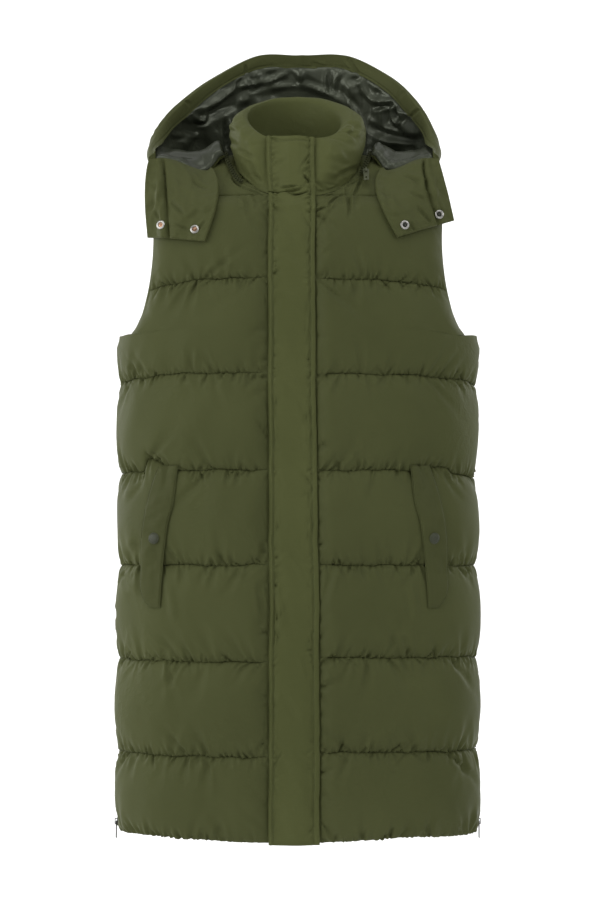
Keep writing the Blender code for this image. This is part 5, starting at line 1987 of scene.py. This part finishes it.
@dataclass
class Sewing:
    """Every visible stitch, as one joined mesh."""

    length: float = 0.0026
    width: float = 0.00050
    flatness: float = 0.8
    pitch: float = 0.0036
    lift: float = 0.00008
    places: list[Array] = field(default_factory=list)

    def run(self, points: Array, normals: Array) -> None:
        """Adds a run of stitches along a line on cloth.

        Args:
            points: the line's points.
            normals: the cloth's normals there.
        """
        frames = frames_along(points, normals, self.pitch)
        frames[:, :3, 3] += frames[:, :3, 2] * self.lift
        self.places.append(frames)

    def build(self) -> Object:
        """Makes the stitches."""
        shape = bmesh.new()
        bmesh.ops.create_uvsphere(shape, u_segments=5, v_segments=4, radius=0.5)
        turn = Matrix.Rotation(math.pi / 2, 4, "Y")
        bmesh.ops.transform(shape, matrix=turn, verts=shape.verts)
        bmesh.ops.scale(shape, vec=(self.length, self.width, self.width * self.flatness), verts=shape.verts)
        return scattered("stitches", shape, np.concatenate(self.places), Finish.THREAD, Slot.SHELL)


# Creases placed one by one


def placed(*rows: tuple[float, ...]) -> tuple[Crease, ...]:
    """Creases from rows in millimetres: start x and z, end x and z, depth, width and, if it is bent, bow."""
    thousandths = [[value / 1000 for value in row] for row in rows]
    return tuple(Crease((x0, z0), (x1, z1), *rest) for x0, z0, x1, z1, *rest in thousandths)


RIGHT_FRONT_CREASES = placed(
    (-64, -80, -42, -115, 2, 3.5, 2), (-70, -75, -58, -92, -1.6, 3), (-132, -430, -148, -448, 1.5, 3),
    (-198, -426, -208, -442, -2, 4), (-186, -500, -205, -525, 2.5, 5, 4),
    (-158, -555, -148, -595, -2.2, 4.5), (-48, -525, -42, -505, 3, 3, 2), (-52, -605, -40, -600, 3, 2.6),
    (-48, -555, -42, -595, 2.4, 3.2), (-83, -40, -68, -55, 3.4, 1.5, 1.5), (-69, -54, -45, -65, 3.4, 1.4),
    (-66, -51, -37, -61, 2.6, 1.3), (-78, -61, -73, -69, 1.2, 2), (-61, -66, -55, -79, -1.4, 2.4),
    (-73, -74, -65, -87, -1.2, 2.2),
)
LEFT_FRONT_CREASES = placed(
    (62, -56, 63, -80, 3.4, 1.8), (66, -56, 64, -93, 3, 1.9), (74, -60, 72, -82, 1.8, 2.6),
    (29, -112, 33, -122, 1.4, 2.8), (138, -560, 144, -595, -2, 4), (190, -805, 206, -770, 2, 4, 2),
    (32, -575, 46, -530, 2.6, 3.4), (56, -65, 39, -81, 4.6, 1.5, 1.2), (39, -81, 21, -87, 4, 1.6, 1),
    (55, -69, 31, -88, -2, 3, 1), (24, -64, 61, -54, 3.6, 1.3), (82, -40, 72, -62, 4, 1.5),
    (62, -53, 75, -45, 3.2, 1.3),
)
COLLAR_CREASES = placed(
    (-85, -16, -73, -31, 3.6, 1.6), (-74, -30, -58, -49, 5, 1.7), (-62, -3, -48, -16, 2.4, 2.2),
    (-51, -35, -44, -45, 1.8, 2), (-80, 20, -65, 4, 2, 2.6), (-75, 39, -63, 28, -2, 2.6),
    (-83, -31, -77, -41, 3, 1.5), (23, -47, 35, -57, 5, 1.5), (23, -59, 48, -51, 3.6, 1.5, 2.5),
    (73, -21, 44, -41, 3.2, 2.6, 1.5), (77, -29, 63, -51, 4, 1.6), (66, 34, 57, 16, 3, 2.2),
    (57, 44, 68, 25, 2.6, 2.2), (51, 28, 63, 11, 2.4, 2.4), (31, 5, 26, -15, 2, 2.4),
    (41, -8, 51, -20, -1.6, 3),
)
PLACKET_CREASES = placed(
    (-22, -55, -2, -53, 3, 1.4), (-21, -61, 5, -56, 3.6, 1.4, 1), (-7, -67, 15, -59, 3.4, 1.4, 1),
    (8, -38, 14, -47, 3.2, 1.5), (-36, -60, -24, -62, 3.4, 1.5, 1), (-34, -77, -20, -86, 1.8, 2.2),
    (-26, -25, -15, -18, 1.8, 2.6), (-22, -40, -26, -55, 1.4, 2.6), (-24, -92, -2, -121, 1.4, 3.4),
    (-20, -136, 3, -149, 1.4, 3.4), (-15, -197, 8, -224, 1.4, 4.4), (-27, -287, 0, -313, 1.2, 4.4),
    (3, -325, 15, -353, 1.3, 3.6), (-24, -557, -10, -607, 1.2, 4.4), (-7, -514, 13, -542, 1.3, 3.6),
    (-19, -688, 3, -728, 1.2, 4.4), (-30, -408, -20, -431, 1.2, 3), (8, -644, 15, -670, 1.3, 3),
)
RIGHT_FLAP_CREASES = placed(
    (-158, -73, -142, -90, 3.2, 2), (-175, -46, -172, -64, -2.2, 2.4), (-131, -48, -115, -58, 2.6, 2, 1),
    (-152, -103, -137, -110, 2.6, 1.8), (-115, -100, -125, -110, 2.2, 1.8), (-156, -46, -149, -71, -2.6, 3),
    (-177, -84, -171, -96, 2.2, 1.8), (-138, -64, -133, -82, 1.6, 3.4), (-175, -64, -177, -82, -1.8, 2.4),
    (-123, -84, -134, -96, 1.6, 2.6),
)
LEFT_FLAP_CREASES = placed(
    (143, -64, 158, -70, 3.4, 1.8), (150, -81, 167, -100, 3, 1.9), (141, -102, 147, -110, 2.6, 1.6, 1.5),
    (138, -39, 152, -48, 3, 1.9), (169, -59, 173, -81, -2.2, 2.8), (163, -43, 161, -61, 2.4, 2),
    (110, -60, 116, -80, 1.6, 3), (176, -71, 181, -86, 2, 1.8),
)
BAND_CREASES = placed(
    (-72, 149, -70, 133, 3, 2), (-156, 95, -150, 88, 3, 2), (-190, 62, -176, 59, 3, 2),
    (-199, 37, -188, 32, 2.6, 2), (69, 156, 82, 137, 4, 2.2), (20, 152, 40, 145, 2.4, 2.4),
    (148, 112, 144, 100, 2.6, 2.2), (168, 80, 156, 68, 2.4, 2.2),
)
LINING_FOLDS = placed(
    (-82, 121, -133, 84, -5.4, 4.1), (-90, 102, -125, 81, 6, 5.8), (-146, 77, -131, 70, -3.6, 2.8, 1.5),
    (-128, 82, -136, 68, -3.6, 2.8, -1.5), (-144, 66, -127, 72, 3.4, 2.8, 2),
    (-158, 63, -136, 59, 6.7, 5.2, 3), (-175, 43, -159, 48, -2.5, 2.8), (-143, 54, -180, 11, -3.6, 5.2),
    (-162, 35, -178, 5, 3.1, 4.5), (-172, 1, -120, -6, -4.7, 6.8, -10),
    (-167, -10, -122, -10, 3.1, 4.5, -6), (-147, 52, -111, -9, 4.2, 7.5, -6),
    (-108, 62, -106, -10, -3.6, 9), (-96, 76, -95, 40, -3.4, 2.8), (-102, 73, -101, 38, 3.4, 2.8),
    (-71, 136, -85, 113, 3.6, 2.8, 3), (-81, 117, -48, 122, 3.6, 2.8), (-61, 139, -53, 133, -5.1, 4.6),
    (-80, 101, -70, 106, -5.1, 4.6), (-78, 120, -49, 129, -4.2, 3.4), (-42, 137, -29, 140, 4.2, 4.6),
    (-47, 128, -13, 140, -3.9, 3), (0, 140, 6, 130, -5.1, 4.6), (-12, 140, -3, 128, 3.6, 2.8),
    (-34, 121, 2, 122, -4.2, 3.4, -1), (-48, 111, 17, 111, 4.2, 5.8), (5, 125, 65, 101, -5.4, 4.1, -2),
    (13, 113, 48, 103, 5.1, 4.6), (44, 142, 47, 115, 4.8, 3.7, 2), (56, 134, 53, 112, 3.9, 3, 1),
    (60, 141, 50, 114, -3.6, 2.8, 2), (66, 128, 80, 108, -6, 5.8), (72, 127, 87, 133, 4.5, 3.4),
    (87, 126, 100, 102, -4.5, 3.4, 2), (100, 102, 130, 94, -4.5, 3.4), (107, 114, 114, 107, 3.4, 3.4),
    (90, 103, 96, 78, 6, 5.8), (104, 91, 134, 92, 3.9, 3, -1), (134, 92, 133, 71, -3.6, 2.8, 3),
    (133, 71, 142, 64, -3.6, 2.8, 1), (142, 64, 145, 77, -3.6, 2.8, 1), (145, 77, 139, 85, -3.6, 2.8),
    (136, 86, 137, 71, 3.6, 2.8), (124, 87, 125, 65, 6, 4.6), (143, 65, 166, 43, -5.1, 4.6),
    (97, 68, 168, 38, 5.1, 3.9, 3), (105, 48, 150, 37, -5.1, 9.2), (71, 103, 90, 77, -3.6, 2.8),
    (90, 77, 91, 33, -3.6, 2.8), (91, 33, 102, -7, -3.6, 2.8), (76, 102, 96, 70, 3.9, 3),
    (98, 2, 147, 27, 4.2, 9), (150, 29, 174, -11, -3.1, 4.5), (163, 35, 171, 1, -2.6, 4.5),
    (155, 33, 171, -10, 2.6, 4.5), (140, -5, 162, -9, -2.1, 4.5), (104, -5, 126, -12, -3.1, 4.5),
    (117, -23, 140, -16, -3.1, 4.5), (-179, 1, -184, -11, 2.6, 4.5), (-175, -10, -162, 23, 2.6, 4.5),
    (-155, -12, -120, -12, -2.6, 4.5, -2), (-130, -21, -112, -10, 2.1, 4.5), (-121, 0, -107, 1, -2.6, 4.5),
    (-152, 26, -131, -21, 2.6, 7.5), (-179, 1, -164, -9, -2.1, 4.5), (-107, 4, -98, 3, 2.6, 4.5),
    (102, 2, 124, 2, -3.1, 4.5), (108, -5, 135, -8, 3.1, 4.5), (139, 27, 156, -9, -3.1, 5.1, 2),
    (137, -9, 166, -3, 2.6, 4.5), (162, 27, 171, -10, -2.6, 4.5), (116, 3, 129, -19, 2.6, 6),
    (100, 32, 109, -3, -3.4, 3.4),
)


# The studio


@dataclass(frozen=True)
class SoftLight:
    """A square soft light, with its side in metres and its power in watts."""

    name: str
    place: Place
    aim: Place
    size: float
    power: float

    def build(self) -> None:
        """Makes the light."""
        data = bpy.data.lights.new(self.name, "AREA")
        data.energy, data.size = self.power, self.size
        lamp = in_scene(self.name, data)
        lamp.location = self.place
        lamp.rotation_euler = (Vector(self.aim) - Vector(self.place)).to_track_quat("-Z", "Y").to_euler()


@dataclass(frozen=True)
class Sweep:
    """The pale floor that curves up into the backdrop, which is clear from behind."""

    dark: Colour = (0.93, 0.93, 0.93)
    light: Colour = (0.95, 0.95, 0.95)
    roughness: float = 0.9
    floor_z: float = -1.35
    front_y: float = -4.0
    width: float = 14.0
    floor_length: float = 6.5
    radius: float = 1.6
    length: float = 12.0  # from the front edge to the backdrop's top

    def material(self) -> Material:
        """Makes its material."""
        made, wiring, shader = new_material("pale_sweep")
        tone = wiring.noise(wiring.add("TexCoord").outputs["Object"], 3.0, 2.0, 0.5).outputs[0]
        colour = wiring.mixed(wiring.fitted(tone, 0.3, 0.7), (*self.dark, 1.0), (*self.light, 1.0))
        wiring.join(colour, shader["Base Color"])
        shader["Roughness"].default_value = self.roughness
        behind = wiring.add("NewGeometry").outputs["Backfacing"]
        clear = wiring.add("BsdfTransparent").outputs[0]
        nodes = made.node_tree.nodes
        seen = wiring.add("MixShader", behind, nodes["Principled BSDF"].outputs[0], clear).outputs[0]
        wiring.join(seen, nodes["Material Output"].inputs["Surface"])
        return made

    def build(self) -> None:
        """Makes the sweep."""
        mesh = bmesh.new()
        grid = bmesh.ops.create_grid(mesh, x_segments=8, y_segments=40, size=0.5)
        quarter = math.pi / 2
        for vertex in grid["verts"]:
            run = (vertex.co.y + 0.5) * self.length
            turn = min(max((run - self.floor_length) / self.radius, 0), quarter)
            y = self.front_y + min(run, self.floor_length) + self.radius * math.sin(turn)
            rise = max(run - self.floor_length - self.radius * quarter, 0)
            z = self.floor_z + self.radius * (1 - math.cos(turn)) + rise
            vertex.co = (vertex.co.x * self.width, y, z)
        in_scene("sweep", smooth_data("sweep", mesh, self.material()))


@dataclass(frozen=True)
class Studio:
    """The sweep, the soft lights, the sky and the camera."""

    camera_place: Place = (0.003, -3.0, -0.499)
    tilt: float = 2.233
    lens: float = 92.32
    sensor_width: float = 36.0
    sky: float = 0.40
    lights: tuple[SoftLight, ...] = (
        SoftLight("key", (-2.6, -1.7, 0.6), (0.0, 0.0, -0.35), 2.0, 34.0),
        SoftLight("fill", (2.4, -1.9, 1.2), (0.0, 0.0, 0.0), 1.6, 19.0),
        SoftLight("top", (0.0, -1.2, 2.0), (0.0, 0.0, 0.0), 1.6, 13.0),
        SoftLight("left_edge", (-2.3, 0.4, -0.2), (0.0, 0.0, -0.5), 1.4, 13.0),
        SoftLight("right_edge", (2.3, 0.4, 0.0), (0.0, 0.0, -0.3), 1.4, 2.5),
        SoftLight("left_backdrop", (-2.2, 1.6, 0.6), (0.3, 3.9, -0.6), 1.6, 60.0),
        SoftLight("right_backdrop", (2.2, 1.6, 0.6), (-0.3, 3.9, -0.6), 1.6, 60.0),
    )

    def build(self) -> None:
        """Makes everything round the vest."""
        scene = bpy.context.scene
        scene.view_settings.view_transform = "Standard"
        Sweep().build()
        for light in self.lights:
            light.build()
        scene.world = bpy.data.worlds.new("studio")
        scene.world.use_nodes = True
        background = scene.world.node_tree.nodes["Background"].inputs
        background["Color"].default_value = (1, 1, 1, 1)
        background["Strength"].default_value = self.sky
        data = bpy.data.cameras.new("camera")
        data.lens, data.sensor_width = self.lens, self.sensor_width
        scene.camera = in_scene("camera", data)
        scene.camera.location = self.camera_place
        scene.camera.rotation_euler = (math.radians(90 + self.tilt), 0, 0)


# Putting it together


@dataclass
class Vest:
    """The whole vest, built in the order in which its pieces lie on each other."""

    frame: dict
    form: BodyForm = field(default_factory=BodyForm)
    sewing: Sewing = field(default_factory=Sewing)
    placket_seams: tuple[Place, ...] = (  # height, and where it starts and ends to the wearer's left
        (-0.8740, -0.0290, 0.0190),
        (-0.0510, -0.0300, 0.0130),
        (0.0074, -0.0300, 0.0130),
    )
    zip_lift: float = 0.0006
    side_zip_lift: float = 0.0014
    front_tape: float = 0.0100  # the width of each zip's tape
    hood_tape: float = 0.0060
    side_tape: float = 0.0052
    hood_snap: tuple[float, float] = (0.0058, 0.0003)  # its radius, and how far off the cloth it sits
    pocket_snap: tuple[float, float] = (0.0072, 0.0004)
    pocket_snap_place: tuple[float, float] = (0.1805, -0.497)  # out to the side, and up

    def build_body(self) -> Iterator[Object]:
        """Makes the fronts and the back, with the stitches of their quilting."""
        self.right = BodyPanel(
            "front_right", self.form, Side.RIGHT, 11, RIGHT_FRONT_CREASES,
            (Nudge(0.1840, -0.411, 0.0150, 0.024, 0.004), Nudge(0.180, -0.878, 0.0055, 0.09, 0.08, 0.06)),
            shifts=(0.0035, 0.0000, -0.0015, 0.0, 0.0, 0.0030, 0.0032, 0.0), edge_width=0.030,
        )
        self.left = BodyPanel(
            "front_left", self.form, Side.LEFT, 12, LEFT_FRONT_CREASES,
            (
                Nudge(0.1850, -0.411, 0.0060, 0.030, 0.004), Nudge(0.225, -0.411, -0.005, 0.036, 0.03),
                Nudge(0.140, -0.878, 0.0055, 0.08, 0.08, 0.06),
            ),
            shifts=(0.0035, 0.0055, 0.0042, 0.0, 0.0, 0.0015, 0.0016, 0.0), edge_width=0.024,
        )
        self.back = BodyPanel("back", self.form, None, seed=13)
        for panel in (self.right, self.left, self.back):
            yield panel.build()
            for seam in self.form.seams[1:-1]:
                self.sewing.run(*panel.line_at(seam))

    def build_closing(self) -> Iterator[Object]:
        """Makes the collar, the placket and the front zip."""
        collar, placket = Collar(self.form), Placket()
        yield collar.build()
        yield placket.build(self.right, self.left, collar)
        row = placket.outer[0, :, 0]
        right_inset, left_inset = placket.stitch_insets
        for place in (row[0] + right_inset, row[-1] - left_inset):
            column = int(np.argmin(np.abs(row - place)))
            self.sewing.run(placket.outer[2:-2, column], placket.normals[2:-2, column])
        cloth = Surface(placket.outer, stride=1)
        for z, start, end in self.placket_seams:
            places, normals = zip(*(cloth.front(x, z) for x in np.linspace(start, end, 30)))
            self.sewing.run(np.array(places), np.array(normals))
        middle = (self.right.inner[:-1, 0] + self.left.inner[:-1, 0]) / 2
        upper = (collar.inner[1:, 0] + collar.inner[1:, -1]) / 2
        line = np.concatenate([middle, upper])
        normals = unit(np.concatenate([self.right.normals[:-1, 0], collar.normals[1:, 0]]) * (0, 1, 1))
        line += normals * self.zip_lift
        yield from ZipChain("front_zip", line, normals, self.front_tape).build()

    def build_hood(self) -> Iterator[Object]:
        """Makes the hood's zip, shell, lining, band and front ends."""
        panels = [Surface(panel.outer) for panel in (self.right, self.left, self.back)]
        self.fronts = {Side.RIGHT: panels[0], Side.LEFT: panels[1]}
        line = HoodZipLine(panels)
        rows, normals = line.rows()
        middle, rise = rows.mean(axis=0), unit(normals.mean(axis=0))
        yield from ZipChain("hood_zip", middle, rise, self.hood_tape, Finish.TAPE).build()
        form = HoodForm(rows[1] + normals[1] * line.thickness)
        yield from HoodShell(form).build()
        yield HoodLining(form).build()
        band = HoodBand(form)
        yield band.build()
        self.sewing.run(*band.stitches())
        self.flaps = {
            Side.RIGHT: HoodFlap(
                form, Side.RIGHT, panels[0], (0.1160, -0.1245), (0.1890, -0.1150), (0.013, 0.004),
                (0.66, 0.62, 0.0060), (0.100, 0.124), RIGHT_FLAP_CREASES, seed=71,
            ),
            Side.LEFT: HoodFlap(
                form, Side.LEFT, panels[1], (0.1250, -0.1190), (0.1980, -0.0930), (0.016, 0.000),
                (0.62, 0.72, 0.0060), (0.085, 0.100), LEFT_FLAP_CREASES, seed=72,
            ),
        }
        for flap in self.flaps.values():
            yield flap.build()

    def build_pockets(self) -> Iterator[Object]:
        """Makes the pockets' welts and their snaps."""
        out, z = self.pocket_snap_place
        for side, shift, seed in ((Side.RIGHT, 0.0, 81), (Side.LEFT, -0.009, 82)):
            welt = PocketWelt(side, self.fronts[side], shift, seed)
            yield welt.build()
            place = Surface(welt.outer, stride=1).front(side.value * (out + shift), z)
            cap = Snap(
                "pocket_snap_" + side.word, SnapStyle.CAP, *self.pocket_snap, *place, Finish.CAP, Finish.CAP,
                Slot.DARK_METAL,
            )
            yield from cap.build()

    def build_snaps(self) -> Iterator[Object]:
        """Makes the snaps on the hood's front ends."""
        for word, side, x, z, middle in (
            ("right_inner", Side.RIGHT, -0.1295, -0.1085, Finish.COPPER),
            ("right_outer", Side.RIGHT, -0.1729, -0.1010, Finish.COPPER),
            ("left_inner", Side.LEFT, 0.1348, -0.1030, Finish.DARK),
            ("left_outer", Side.LEFT, 0.1796, -0.0865, Finish.DARK),
        ):
            place = Surface(self.flaps[side].outer, stride=1).front(x, z)
            ring = Snap(
                "hood_snap_" + word, SnapStyle.RING, *self.hood_snap, *place, Finish.SILVER, middle,
                Slot.BRIGHT_METAL,
            )
            yield from ring.build()

    def build_zips(self) -> Iterator[Object]:
        """Makes the side zips, and rounds the sliders and the pull tabs."""
        for side, front in ((Side.RIGHT, self.right), (Side.LEFT, self.left)):
            name = "side_zip_" + side.word
            low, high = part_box(name)
            heights = np.linspace(low.z, high.z, 60)
            below = front.level[:, -1] < self.form.underarm
            edge = front.outer[below, -1]
            reach = np.interp(heights, edge[:, 2], np.abs(edge[:, 0])) + self.side_zip_lift
            line = np.stack([side.value * reach, np.zeros(len(heights)), heights], axis=1)
            normals = np.repeat([[side.value, 0.0, 0.0]], len(line), axis=0)
            yield from ZipChain(name, line, normals, self.side_tape).build()
            yield Hardware("side_zip_slider_" + side.word).build(self.frame)
            pull = Hardware("side_zip_pull_" + side.word, body="side_pull_" + side.word)
            yield pull.build(self.frame)
        yield Hardware("hood_zip_slider", Finish.PULL).build(self.frame)
        yield Hardware("hood_zip_pull", Finish.PULL, "hood_pull").build(self.frame)

    def build(self) -> Iterator[Object]:
        """Makes every piece."""
        yield from self.build_body()
        yield from self.build_closing()
        yield from self.build_hood()
        yield from self.build_pockets()
        yield from self.build_snaps()
        yield from self.build_zips()
        yield self.sewing.build()


def main() -> None:
    """Dresses the frame."""
    logging.basicConfig(level=logging.INFO, format="%(name)s %(message)s")
    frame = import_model()
    Studio().build()
    for piece in Vest(frame).build():
        log.info("%s: %d faces", piece.name, len(piece.data.polygons))


if __name__ == "__main__":
    main()
